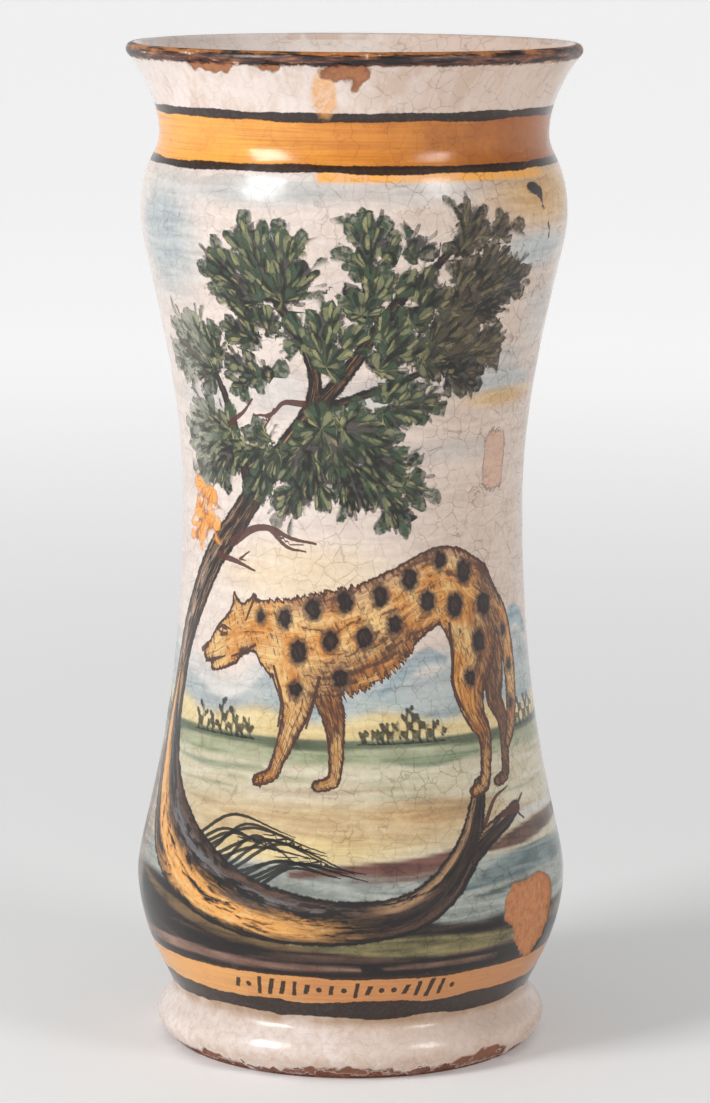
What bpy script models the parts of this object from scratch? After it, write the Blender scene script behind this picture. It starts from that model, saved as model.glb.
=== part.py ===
"""Albarello: a thrown, tin-glazed pharmacy jar, one hollow piece with an open mouth and a turned foot.

Its wall is a chain of Bezier curves between named radii and heights, turned about +Z. The origin is the
middle of the ring it stands on, and the painted side faces -Y. Flakes are cut out where glaze and clay
have come away.
"""
import math

import bmesh
import bpy
import numpy as np

# Outside, in metres: heights are above the ground, drops are below the top of the lip
HEIGHT = 0.250
LIP_RADIUS = 0.0562
LIP_BEAD = 0.0017
LIP_LEAN = math.radians(46)
NECK_RADIUS = 0.04805
NECK_DROP = 0.0217
SHOULDER_RADIUS = 0.0528
SHOULDER_DROP = 0.0427
WAIST_RADIUS = 0.0424
WAIST_HEIGHT = 0.1385
BELLY_RADIUS = 0.0538
BELLY_HEIGHT = 0.0430
GROOVE_DEPTH = 0.0040
GROOVE_HEIGHT = 0.0137
FOOT_RADIUS = 0.0490
FOOT_HEIGHT = 0.0064
FOOT_TUCK = 0.0050

# Wall, floor and underside
WALL = 0.0048
LIP_TAPER = 0.018
FLOOR = 0.0060
FLOOR_FILLET = 0.0080
RECESS_DEPTH = 0.0030
RECESS_FILLET = 0.0015
RING_WIDTH = 0.0070

# Flakes that have come away: degrees round from the front, height, half width, half height, depth and
# the shape of its edge
FLAKES = {
    "belly_flake": (56, 0.0370, 0.0118, 0.0108, 0.0006, 0.4),
    "foot_flake_left": (-43, 0.0006, 0.0120, 0.0026, 0.0007, 1.3),
    "foot_flake_front": (-4, 0.0004, 0.0170, 0.0024, 0.0008, 2.9),
    "foot_flake_right": (36, 0.0008, 0.0120, 0.0029, 0.0007, 4.4),
    "lip_flake_front": (-3.5, HEIGHT - 0.0058, 0.0050, 0.0030, 0.0005, 2.2),
}
CUTTER_PROUD = 0.0020

# Fineness of the turned wall
TURN_STEPS = 48
MERGE = 0.00001

GLAZE_COLOUR = (0.74, 0.66, 0.61, 1.0)
GLAZE_ROUGHNESS = 0.28


def bezier(start, start_handle, end_handle, end, count):
    """The points of one cubic curve, without its first one."""
    points = []
    for i in range(1, count + 1):
        t = i / count
        s = 1 - t
        weights = (s ** 3, 3 * s * s * t, 3 * s * t * t, t ** 3)
        corners = (start, start_handle, end_handle, end)
        points.append(tuple(sum(w * c[k] for w, c in zip(weights, corners)) for k in (0, 1)))
    return points


def arc(centre, radius, start, end, count):
    """Points along a circle from one angle to another, in degrees."""
    angles = [math.radians(start + (end - start) * i / count) for i in range(count + 1)]
    return [(centre[0] + radius * math.cos(a), centre[1] + radius * math.sin(a)) for a in angles]


def outside():
    """Radius and height along the outside, from the edge it stands on up to the lip's bead."""
    # Radius and height of each turning point, and the shares of the way down to the one below and up to the
    # one above over which the wall runs upright
    turns = [
        (FOOT_RADIUS, FOOT_HEIGHT, 0.41, 0.42),
        (FOOT_RADIUS - GROOVE_DEPTH, GROOVE_HEIGHT, 0.25, 0.10),
        (BELLY_RADIUS, BELLY_HEIGHT, 0.55, 0.105),
        (WAIST_RADIUS, WAIST_HEIGHT, 0.63, 0.436),
        (SHOULDER_RADIUS, HEIGHT - SHOULDER_DROP, 0.092, 0.71),
        (NECK_RADIUS, HEIGHT - NECK_DROP, 0.31, 0.425),
    ]
    counts = [4, 7, 9, 11, 6]
    edge = (FOOT_RADIUS - FOOT_TUCK, 0.0)
    foot = turns[0]
    edge_handle = (edge[0] + 0.30 * FOOT_TUCK, 0.08 * FOOT_HEIGHT)
    foot_handle = (foot[0], foot[1] * (1 - foot[2]))
    points = [edge] + bezier(edge, edge_handle, foot_handle, foot[:2], 5)
    for low, high, count in zip(turns, turns[1:], counts):
        rise = high[1] - low[1]
        low_handle = (low[0], low[1] + rise * low[3])
        high_handle = (high[0], high[1] - rise * high[2])
        points += bezier(low[:2], low_handle, high_handle, high[:2], count)
    neck = turns[-1]
    lip = bead()[-1]
    rise = lip[1] - neck[1]
    neck_handle = (neck[0], neck[1] + rise * neck[3])
    lip_handle = (lip[0] - 0.16 * rise * math.sin(LIP_LEAN), lip[1] - 0.16 * rise * math.cos(LIP_LEAN))
    return points + bezier(neck[:2], neck_handle, lip_handle, lip, 7)


def bead():
    """The rolled edge of the lip, from its inner side over the top to its outer underside."""
    centre = (LIP_RADIUS - LIP_BEAD, HEIGHT - LIP_BEAD)
    return arc(centre, LIP_BEAD, 180, 0, 6) + arc(centre, LIP_BEAD, -22, -45, 1)


def outer_radius(height):
    """Radius of the outside at a height."""
    radii, heights = zip(*outside())
    return float(np.interp(height, heights, radii))


def inner_radius(height):
    """Radius of the inside at a height. The wall thins towards the lip."""
    near_lip = np.clip((height - HEIGHT + LIP_TAPER) / LIP_TAPER, 0, 1)
    thickness = WALL + (2 * LIP_BEAD - WALL) * near_lip
    return outer_radius(height) - thickness


def inside():
    """Radius and height along the inside, from the middle of the floor up to the lip's bead."""
    floor_top = RECESS_DEPTH + FLOOR
    fillet_top = floor_top + FLOOR_FILLET
    centre = (inner_radius(fillet_top) - FLOOR_FILLET, fillet_top)
    points = [(0.0, floor_top), (centre[0] * 0.5, floor_top)] + arc(centre, FLOOR_FILLET, -90, 0, 5)
    top = HEIGHT - 2.2 * LIP_BEAD
    rows = 21
    for i in range(1, rows + 1):
        height = fillet_top + (top - fillet_top) * i / rows
        points.append((inner_radius(height), height))
    return points


def underside():
    """Radius and height from the ring it stands on, in to the middle of the recess."""
    ring_inner = FOOT_RADIUS - FOOT_TUCK - RING_WIDTH
    fillet_centre = (ring_inner - RECESS_FILLET, RECESS_DEPTH - RECESS_FILLET)
    ceiling = arc(fillet_centre, RECESS_FILLET, 0, 90, 2)
    return [(ring_inner, 0.0)] + ceiling + [(ring_inner * 0.5, RECESS_DEPTH), (0.0, RECESS_DEPTH)]


def make_glaze():
    material = bpy.data.materials.new("tin_glaze")
    material.use_nodes = True
    shader = material.node_tree.nodes["Principled BSDF"]
    shader.inputs["Base Color"].default_value = GLAZE_COLOUR
    shader.inputs["Roughness"].default_value = GLAZE_ROUGHNESS
    shader.inputs["Metallic"].default_value = 0.0
    return material


def turned_jar(collection, material):
    """The whole wall: floor, inside, lip, outside, foot and underside in one profile, turned once round."""
    profile = inside() + bead() + outside()[-2::-1] + underside()
    mesh = bpy.data.meshes.new("jar")
    edges = [(i, i + 1) for i in range(len(profile) - 1)]
    mesh.from_pydata([(radius, 0.0, height) for radius, height in profile], edges, [])
    jar = bpy.data.objects.new("jar", mesh)
    collection.objects.link(jar)
    mesh.materials.append(material)
    screw = jar.modifiers.new("turned", "SCREW")
    screw.steps = TURN_STEPS
    screw.render_steps = TURN_STEPS
    screw.use_merge_vertices = True
    screw.merge_threshold = MERGE
    screw.use_smooth_shade = True
    return jar


def flake_cutter(collection, name, turn, height, half_width, half_height, depth, shape):
    """A sphere warped to hug the wall: its inner half lies a flake's depth in, its outer half is proud."""
    mesh = bpy.data.meshes.new(name)
    sphere = bmesh.new()
    bmesh.ops.create_uvsphere(sphere, u_segments=12, v_segments=6, radius=1.0)
    for vertex in sphere.verts:
        angle = math.atan2(vertex.co.y, vertex.co.x)
        ragged = 1 + 0.13 * math.sin(3 * angle + shape) + 0.09 * math.sin(5 * angle + 2.3 * shape)
        rise = half_height * ragged * vertex.co.y
        wall_radius = outer_radius(height + rise)
        if vertex.co.z > 0:
            radius = wall_radius + CUTTER_PROUD * vertex.co.z
        else:
            radius = wall_radius - depth * math.sqrt(-vertex.co.z)
        round_by = math.radians(turn) + half_width * ragged * vertex.co.x / wall_radius
        vertex.co = (radius * math.sin(round_by), -radius * math.cos(round_by), height + rise)
    sphere.to_mesh(mesh)
    sphere.free()
    cutter = bpy.data.objects.new(name, mesh)
    cutter.hide_render = True
    cutter.display_type = "WIRE"
    collection.objects.link(cutter)
    return cutter


def cut(jar, cutter):
    boolean = jar.modifiers.new(cutter.name, "BOOLEAN")
    boolean.operation = "DIFFERENCE"
    boolean.solver = "EXACT"
    boolean.object = cutter


def new_collection(name):
    collection = bpy.data.collections.new(name)
    bpy.context.scene.collection.children.link(collection)
    return collection


def main():
    for old in list(bpy.data.objects):
        bpy.data.objects.remove(old, do_unlink=True)
    parts = new_collection("albarello")
    cutters = new_collection("cutters")
    jar = turned_jar(parts, make_glaze())
    for name, place_and_size in FLAKES.items():
        cut(jar, flake_cutter(cutters, name, *place_and_size))


main()
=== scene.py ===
"""Albarello: a tin-glazed pharmacy jar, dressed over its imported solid.

The thrown wall is turned finely, a landscape with a tree and a spotted beast is painted on its glaze, and
bare clay shows where glaze has flaked off. In the painting, u runs round the wall from the middle of the
front and v is the height, both in millimetres; u is the angle times PAINT_RADIUS.
"""
import math

import bpy
import numpy as np
from bpy.props import FloatProperty, FloatVectorProperty, IntProperty, PointerProperty
from mathutils import Matrix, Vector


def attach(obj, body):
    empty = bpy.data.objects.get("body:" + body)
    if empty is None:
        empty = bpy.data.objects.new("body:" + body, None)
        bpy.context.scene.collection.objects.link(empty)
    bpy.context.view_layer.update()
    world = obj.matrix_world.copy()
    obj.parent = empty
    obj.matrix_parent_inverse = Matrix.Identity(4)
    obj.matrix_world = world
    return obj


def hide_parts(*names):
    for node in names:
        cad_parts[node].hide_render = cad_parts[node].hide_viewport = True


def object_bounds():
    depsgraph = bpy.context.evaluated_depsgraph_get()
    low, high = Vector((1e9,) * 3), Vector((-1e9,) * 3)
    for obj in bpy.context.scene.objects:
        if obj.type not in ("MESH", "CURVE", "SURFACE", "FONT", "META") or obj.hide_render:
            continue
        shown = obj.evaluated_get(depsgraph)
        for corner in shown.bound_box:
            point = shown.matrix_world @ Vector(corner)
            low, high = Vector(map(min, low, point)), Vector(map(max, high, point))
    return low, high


bl_info = {
    "name": "Albarello",
    "version": (1, 0, 0),
    "blender": (4, 5, 0),
    "location": "View3D > Sidebar > Albarello",
    "description": "Throws, paints and glazes an albarello over its packed solid",
    "category": "Object",
}

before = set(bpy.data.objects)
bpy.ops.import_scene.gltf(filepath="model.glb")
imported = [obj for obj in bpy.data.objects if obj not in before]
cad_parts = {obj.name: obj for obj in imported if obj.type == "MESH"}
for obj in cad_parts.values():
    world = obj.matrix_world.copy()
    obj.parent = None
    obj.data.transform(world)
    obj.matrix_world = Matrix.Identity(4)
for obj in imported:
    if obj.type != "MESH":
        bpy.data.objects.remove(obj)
CAD_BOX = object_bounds()
MM = 1000.0
PAINT_RADIUS = 50.0
FAR = 9.0


# Settings that a user would change

def length(name, default, words):
    return FloatProperty(name=name, description=words, default=default, unit="LENGTH", precision=5)


def angle(name, default, words):
    """An angle, with its default in degrees."""
    return FloatProperty(name=name, description=words, default=math.radians(default), unit="ROTATION")


def position(name, default, words):
    return FloatVectorProperty(name=name, description=words, default=default, subtype="XYZ", unit="LENGTH")


def pigment(name, code, words):
    shown_as = {"subtype": "COLOR", "min": 0, "max": 1}
    return FloatVectorProperty(name=name, description=words, default=linear(code), **shown_as)


def linear(code):
    """A colour in linear light, from its six-digit screen code."""
    parts = [int(code[i:i + 2], 16) / 255 for i in (0, 2, 4)]
    return tuple(c / 12.92 if c <= 0.04045 else ((c + 0.055) / 1.055) ** 2.4 for c in parts)


class JarSizes(bpy.types.PropertyGroup):
    """The turned profile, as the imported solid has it, and how finely it is turned."""

    height: length("Height", CAD_BOX[1].z - CAD_BOX[0].z, "Ground to the top of the lip")
    lip_radius: length("Lip radius", CAD_BOX[1].x, "Widest point of the lip")
    lip_bead: length("Lip bead", 0.0017, "Radius of the rolled bead round the lip")
    lip_lean: angle("Lip lean", 46, "Lean of the flare under the bead")
    neck_radius: length("Neck radius", 0.04805, "Narrowest point of the neck")
    neck_drop: length("Neck drop", 0.0217, "From the lip down to the neck")
    shoulder_radius: length("Shoulder radius", 0.0528, "Widest point of the shoulder")
    shoulder_drop: length("Shoulder drop", 0.0427, "From the lip down to the shoulder")
    waist_radius: length("Waist radius", 0.0424, "Narrowest point of the waist")
    waist_height: length("Waist height", 0.1385, "Ground to the waist")
    belly_radius: length("Belly radius", 0.0538, "Widest point of the belly")
    belly_height: length("Belly height", 0.0430, "Ground to the belly")
    groove_depth: length("Groove depth", 0.0040, "How far the groove lies inside the foot")
    groove_height: length("Groove height", 0.0137, "Ground to the groove")
    foot_radius: length("Foot radius", 0.0490, "Widest point of the foot")
    foot_height: length("Foot height", 0.0064, "Ground to the foot's widest point")
    foot_tuck: length("Foot tuck", 0.0050, "How far the standing edge lies inside the foot")
    wall: length("Wall", 0.0048, "Thickness of the wall")
    lip_taper: length("Lip taper", 0.018, "Height over which the wall thins to the bead")
    floor: length("Floor", 0.0060, "Thickness of the floor")
    floor_fillet: length("Floor fillet", 0.0080, "Rounding between floor and wall")
    recess_depth: length("Recess depth", 0.0030, "Depth of the hollow under the foot")
    recess_fillet: length("Recess fillet", 0.0015, "Rounding of the hollow under the foot")
    ring_width: length("Ring width", 0.0070, "Width of the ring it stands on")
    columns: IntProperty(name="Columns", description="Steps of the turned wall", default=244)
    neck_rows: length("Neck rows", 0.00082, "Spacing of the rows on the neck")
    picture_rows: length("Picture rows", 0.00070, "Spacing of the rows where the picture is")
    foot_rows: length("Foot rows", 0.00080, "Spacing of the rows on the foot")
    out_of_round: length("Out of round", 0.00022, "How far the thrown wall strays from a circle")
    flake_depth: length("Flake depth", 0.0005, "Depth of the places where glaze has flaked off")


class JarColours(bpy.types.PropertyGroup):
    """Glaze, clay and the pigments of the painting."""

    tin_white: pigment("Tin white", "E6D9D2", "The tin glaze")
    tin_shade: pigment("Tin shade", "D2BFB3", "The glaze where it lies thin")
    # Tin warm is also painted shade towards the right of the jar, and partly painted highlight in pale
    # streaks on the lower trunk
    tin_warm: pigment("Tin warm", "C3A48C", "The glaze where dirt has warmed it")
    inside_white: pigment("Inside white", "E8DCD4", "The glaze inside the jar")
    crackle: pigment("Crackle", "6E5646", "Dirt in the crazing")
    clay: pigment("Clay", "C28055", "Bare clay under the flaked glaze")
    # Old clay is also laid as painted shade near the walls of the flakes
    old_clay: pigment("Old clay", "74493A", "Worn, dirty clay at the foot and lip")
    manganese: pigment("Manganese", "1A0F0C", "Brown-black of the lines and the bands")
    ochre: pigment("Ochre", "D18330", "The ochre bands, where thick")
    # Bright and burnt ochre also give the bands painted light at the left and painted shade at the right
    bright_ochre: pigment("Bright ochre", "EFA84C", "The ochre bands, where bright")
    burnt_ochre: pigment("Burnt ochre", "9F5A24", "The ochre bands, where burnt")
    leaf_dark: pigment("Leaf dark", "12130F", "Shadow of the leaves")
    leaf_mid: pigment("Leaf mid", "434A30", "Body of the leaves")
    leaf_blue: pigment("Leaf blue", "384E3C", "Bluish leaves")
    leaf_light: pigment("Leaf light", "9E986C", "Olive lights on the leaves")
    # Leaf pale is partly painted light on the leaves at the far left
    leaf_pale: pigment("Leaf pale", "B4B2A4", "Washed-out leaves at the left")
    autumn: pigment("Autumn", "F2A34A", "The one orange spray")
    bark: pigment("Bark", "5C4133", "Body of the bark")
    bark_dark: pigment("Bark dark", "130E0E", "Shadow of the bark")
    bark_light: pigment("Bark light", "A4805C", "Lit side of the bark")
    bark_glow: pigment("Bark glow", "E6A458", "Orange lights along the fallen bough")
    bark_blue: pigment("Bark blue", "6F7478", "Grey-blue lights along the fallen bough")
    fur: pigment("Fur", "CD8A3F", "The beast's coat")
    fur_light: pigment("Fur light", "E2BC7E", "Lights on the coat")
    fur_dark: pigment("Fur dark", "4A2C22", "Hair strokes and outline")
    spot: pigment("Spot", "1E110E", "Spots on the coat")
    twig: pigment("Twig", "4E261E", "Twigs and small strokes")


class StageSettings(bpy.types.PropertyGroup):
    """Two soft windows, and the camera as fitted to the photograph's outline."""

    left_window: position("Left window", (-1.05, -0.80, 0.80), "Where the large window on the left hangs")
    left_width: length("Left window's width", 0.50, "Width of the left window")
    left_height: length("Left window's height", 0.65, "Height of the left window")
    left_power: FloatProperty(name="Left power", description="Light of the left window", default=13.6)
    right_window: position("Right window", (0.98, -0.85, 0.85), "Where the small window on the right hangs")
    right_width: length("Right window's width", 0.40, "Width of the right window")
    right_height: length("Right window's height", 0.50, "Height of the right window")
    right_power: FloatProperty(name="Right power", description="Light of the right window", default=4.6)
    camera_place: position("Camera", (0.00066, -1.0492, 0.2951), "Where the camera stands")
    camera_pitch: angle("Camera pitch", 9.296, "How far the camera looks down")
    camera_roll: angle("Camera roll", 0.269, "How far the camera leans to its side")
    lens: FloatProperty(name="Lens", description="Focal length in millimetres", default=138.79)
    film: FloatProperty(name="Film", description="Width of the film in millimetres", default=36.0)
    floor_size: length("Floor size", 40.0, "Side of the floor, which runs out of sight")


# The turned profile

def bezier(start, start_handle, end_handle, end, count):
    """Points of one cubic curve, without its first one."""
    t = np.linspace(0, 1, count + 1)[1:, None]
    corners = [np.array(p, float) for p in (start, start_handle, end_handle, end)]
    weights = ((1 - t) ** 3, 3 * (1 - t) ** 2 * t, 3 * (1 - t) * t * t, t ** 3)
    return sum(w * c for w, c in zip(weights, corners))


def arc(centre, radius, start, end, count):
    """Points along a circle from one angle to another, in degrees."""
    turn = np.radians(np.linspace(start, end, count + 1))
    return np.stack([centre[0] + radius * np.cos(turn), centre[1] + radius * np.sin(turn)], 1)


def bead(s, count=9):
    """The rolled edge of the lip, from its inner side over the top to its outer underside."""
    return arc((s.lip_radius - s.lip_bead, s.height - s.lip_bead), s.lip_bead, 180, -45, count)


def outside(s, count=120):
    """Radius and height along the outside, from the edge it stands on up to the lip's bead."""
    turns = [
        (s.foot_radius, s.foot_height, 0.41, 0.42),
        (s.foot_radius - s.groove_depth, s.groove_height, 0.25, 0.10),
        (s.belly_radius, s.belly_height, 0.55, 0.105),
        (s.waist_radius, s.waist_height, 0.63, 0.436),
        (s.shoulder_radius, s.height - s.shoulder_drop, 0.092, 0.71),
        (s.neck_radius, s.height - s.neck_drop, 0.31, 0.425),
    ]
    edge = (s.foot_radius - s.foot_tuck, 0.0)
    foot = turns[0]
    edge_handle = (edge[0] + 0.30 * s.foot_tuck, 0.08 * s.foot_height)
    foot_handle = (foot[0], foot[1] * (1 - foot[2]))
    stretches = [np.array([edge]), bezier(edge, edge_handle, foot_handle, foot[:2], count)]
    for low, high in zip(turns, turns[1:]):
        rise = high[1] - low[1]
        handles = (low[0], low[1] + rise * low[3]), (high[0], high[1] - rise * high[2])
        stretches.append(bezier(low[:2], *handles, high[:2], count))
    neck, lip = turns[-1], bead(s)[-1]
    rise = lip[1] - neck[1]
    lip_handle = (lip[0] - 0.16 * rise * math.sin(s.lip_lean), lip[1] - 0.16 * rise * math.cos(s.lip_lean))
    stretches.append(bezier(neck[:2], (neck[0], neck[1] + rise * neck[3]), lip_handle, lip, count))
    return np.concatenate(stretches)


def inner_radius(s, height):
    """Radius of the inside at a height. The wall thins towards the lip."""
    wall_line = outside(s)
    near_lip = np.clip((height - s.height + s.lip_taper) / s.lip_taper, 0, 1)
    thickness = s.wall + (2 * s.lip_bead - s.wall) * near_lip
    return np.interp(height, wall_line[:, 1], wall_line[:, 0]) - thickness


def evenly(points, spacing):
    """The same line with its points spread evenly, about this far apart."""
    steps = np.hypot(*np.diff(points, axis=0).T)
    run = np.concatenate([[0], np.cumsum(steps)])
    places = np.linspace(0, run[-1], max(2, round(run[-1] / spacing) + 1))
    return np.stack([np.interp(places, run, points[:, k]) for k in (0, 1)], 1)


def between(line, low, high):
    """The stretch of the outside between two heights, with its ends exactly there."""
    inner = line[(line[:, 1] > low) & (line[:, 1] < high)]
    ends = [[np.interp(h, line[:, 1], line[:, 0]), h] for h in (low, high)]
    return np.concatenate([[ends[0]], inner, [ends[1]]])


# Heights in millimetres of the black lines. The painting's parts meet inside two of them.
BAND_LINE = 234.3
NECK_LINE = 222.2
FOOT_LINE = 27.3
BLACK_BAND = 17.8
# The zones of the profile, which are also the jar's material slots
INSIDE, NECK, PICTURE, FOOT, UNDER = range(5)


def profile(s):
    """The section, from the middle of the inner floor round to that of the underside, and its zones."""
    floor_top = s.recess_depth + s.floor
    fillet_top = floor_top + s.floor_fillet
    corner = inner_radius(s, fillet_top) - s.floor_fillet
    fillet = arc((corner, fillet_top), s.floor_fillet, -90, 0, 5)
    heights = np.linspace(fillet_top, s.height - 2.2 * s.lip_bead, 26)[1:]
    wall = np.stack([inner_radius(s, heights), heights], 1)
    floor = np.stack([np.linspace(0, corner, 5)[:-1], np.full(4, floor_top)], 1)
    line = outside(s)
    top = line[-1, 1]
    foot_top, neck_foot = FOOT_LINE / MM, NECK_LINE / MM
    neck = evenly(between(line, neck_foot, top), s.neck_rows)[::-1]
    picture = evenly(between(line, foot_top, neck_foot), s.picture_rows)[::-1]
    foot = evenly(between(line, 0, foot_top), s.foot_rows)[::-1]
    ring = line[0, 0] - s.ring_width
    hollow = arc((ring - s.recess_fillet, s.recess_depth - s.recess_fillet), s.recess_fillet, 0, 90, 3)
    under = np.concatenate([[[ring, 0]], hollow, [[ring * 0.5, s.recess_depth], [0, s.recess_depth]]])
    parts = [
        (np.concatenate([floor, fillet, wall]), INSIDE),
        (bead(s)[:-1], NECK),
        (neck[:-1], NECK),
        (picture[:-1], PICTURE),
        (foot, FOOT),
        (under, UNDER),
    ]
    points = np.concatenate([part for part, zone in parts])
    zones = np.concatenate([np.full(len(part), zone) for part, zone in parts])
    return points, zones


def column_angles(columns):
    """Angles from the front: fine where the picture is, coarse round the back, and one at the very back."""
    fine, coarse = 0.66, 4.8
    picture_left, picture_right, fade = -66, 60, 20
    u = np.linspace(-math.pi, math.pi, 4001) * PAINT_RADIUS
    beyond = np.maximum(np.maximum(picture_left - u, u - picture_right), 0) / fade
    spacing = fine + (coarse - fine) * np.clip(beyond, 0, 1) ** 2
    count = np.concatenate([[0], np.cumsum(1 / spacing[:-1])])
    even = np.arange(columns) / columns * count[-1]
    return np.interp(even, count, u) / PAINT_RADIUS


# Painting: fields worked out at the vertices

def smooth_line(points, parts=7):
    """A smooth curve through points, each with its half width."""
    p = np.array(points, float)
    p = np.concatenate([[2 * p[0] - p[1]], p, [2 * p[-1] - p[-2]]])
    out = []
    for a, b, c, d in zip(p, p[1:], p[2:], p[3:]):
        for t in np.arange(parts) / parts:
            bend = (2 * a - 5 * b + 4 * c - d) * t * t + (3 * b - a - 3 * c + d) * t ** 3
            out.append(0.5 * (2 * b + (c - a) * t + bend))
    out.append(p[-2])
    return np.array(out)


def limb(u, v, points):
    """A tapering stroke: how far each place is outside its edge, along it and across it, from -1 to 1."""
    line = smooth_line(points)
    edge = np.full(len(u), FAR)
    along, across, side, gap = np.zeros((4, len(u)))
    gap += FAR
    half = np.full(len(u), 0.5)
    reach = FAR + line[:, 2].max()
    low, high = line[:, :2].min(0) - reach, line[:, :2].max(0) + reach
    near = np.flatnonzero((u > low[0]) & (u < high[0]) & (v > low[1]) & (v < high[1]))
    pu, pv = u[near], v[near]
    run = 0.0
    for a, b in zip(line, line[1:]):
        du, dv = b[:2] - a[:2]
        size = math.hypot(du, dv)
        t = np.clip(((pu - a[0]) * du + (pv - a[1]) * dv) / size ** 2, 0, 1)
        out = np.hypot(pu - a[0] - t * du, pv - a[1] - t * dv)
        width = a[2] + (b[2] - a[2]) * t
        better = out - width < edge[near]
        spot = near[better]
        edge[spot] = (out - width)[better]
        along[spot] = (run + t * size)[better]
        lateral = ((pv - a[1]) * du - (pu - a[0]) * dv) / size
        side[spot] = lateral[better]
        across[spot] = (lateral / width)[better]
        gap[spot] = out[better]
        half[spot] = width[better]
        run += size
    return {"edge": edge, "along": along, "across": across, "side": side, "gap": gap, "half": half}


def join(strokes, blend=0.0):
    """Strokes as one shape, the nearest winning, their edges run together over a blend in millimetres."""
    whole = {k: x.copy() for k, x in strokes[0].items()}
    for other in strokes[1:]:
        wins = other["edge"] < whole["edge"]
        edge = np.minimum(other["edge"], whole["edge"])
        if blend:
            share = np.clip(0.5 + 0.5 * (other["edge"] - whole["edge"]) / blend, 0, 1)
            edge = other["edge"] * (1 - share) + whole["edge"] * share - blend * share * (1 - share)
        for key in whole:
            whole[key] = np.where(wins, other[key], whole[key])
        whole["edge"] = edge
    return whole


def soft_step(x, start, end):
    t = np.clip((x - start) / (end - start), 0, 1)
    return t * t * (3 - 2 * t)


def blob(u, v, cu, cv, ru, rv, soft=0.6):
    """1 inside a soft ellipse, 0 outside."""
    return 1 - soft_step(np.hypot((u - cu) / ru, (v - cv) / rv), 1 - soft, 1 + soft)


def belt(v, low, high, soft):
    """1 between two heights, which may vary round the jar."""
    return soft_step(v, low - soft, low + soft) * (1 - soft_step(v, high - soft, high + soft))


# Each limb of the painting is a list of places with a half width: (u, v, half width)
TREE = [
    [(-57, 62, 5.0), (-61.5, 73, 6.2), (-63.5, 84, 5.4), (-62.5, 94, 4.6), (-60, 104, 4.2), (-54, 115, 4.3),
     (-46, 126, 4.1), (-37, 135, 3.7), (-28, 145, 3.3), (-20, 154, 2.8), (-12, 163, 2.3)],
    [(-12, 163, 2.3), (-4, 171, 2.0), (3, 180, 1.7), (10, 190, 1.4), (19, 199, 1.1), (28, 208, 0.7)],
    [(-13, 160, 2.1), (-10, 172, 1.8), (-14, 183, 1.4), (-20, 192, 1.1), (-24, 199, 0.7)],
    [(-31, 143, 2.0), (-34, 153, 1.6), (-37, 164, 1.3), (-42, 175, 0.8)],
    [(-9, 164, 1.3), (2, 168, 1.1), (14, 172, 0.9), (24, 177, 0.6)],
    [(8, 187, 1.0), (19, 190, 0.9), (30, 194, 0.6)],
]
BOUGH = [
    [(-62.5, 100, 0.4), (-64.5, 88, 2.6), (-63.2, 76, 6.0), (-56, 61.5, 8.8), (-43, 51, 8.8),
     (-28, 44.5, 7.6), (-11, 41.5, 6.2), (4, 41.5, 5.2), (15, 44, 4.8), (23.5, 50, 4.3), (30, 58, 3.5),
     (33.5, 66, 2.7), (35.5, 72, 2.0)],
    [(27, 54, 3.4), (35, 59, 2.7), (43, 62.5, 2.1), (48, 65, 1.6)],
]
# Clumps of leaves, the orange spray and the shrubs round the back: (u, v, half width, half height)
CLUMPS = [
    (-24, 199, 15, 9.5), (-28, 187, 10, 6.5), (-49, 177, 12.5, 8.5), (-29, 173, 8.5, 6), (-47, 154, 13, 9.5),
    (-29, 152, 10, 8), (8, 204, 10.5, 6.5), (31, 208, 9.5, 7), (6, 194, 10, 7), (34, 194, 14, 7.5),
    (19, 191, 10, 7), (-8, 182, 12, 7.5), (11, 180, 9.5, 8), (29, 179, 13.5, 8.5), (15, 166, 9.5, 7.5),
    (-3, 152, 20, 9.5), (10, 144, 13, 6.5), (-15, 144, 10, 6),
]
AUTUMN_CLUMPS = [(-53, 134, 7.5, 5.5), (-51, 141, 4, 6)]
SHRUBS = [
    (-128, 93, 13, 8), (-113, 89, 9, 5.5), (-143, 89, 8, 5), (-92, 88, 6, 4), (112, 91, 11, 7),
    (126, 88, 8, 5), (97, 88, 6, 4),
]
# Middle and reach of the crown, from which the clumps sweep away
CROWN = (-8, 164, 34, 30)
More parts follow.
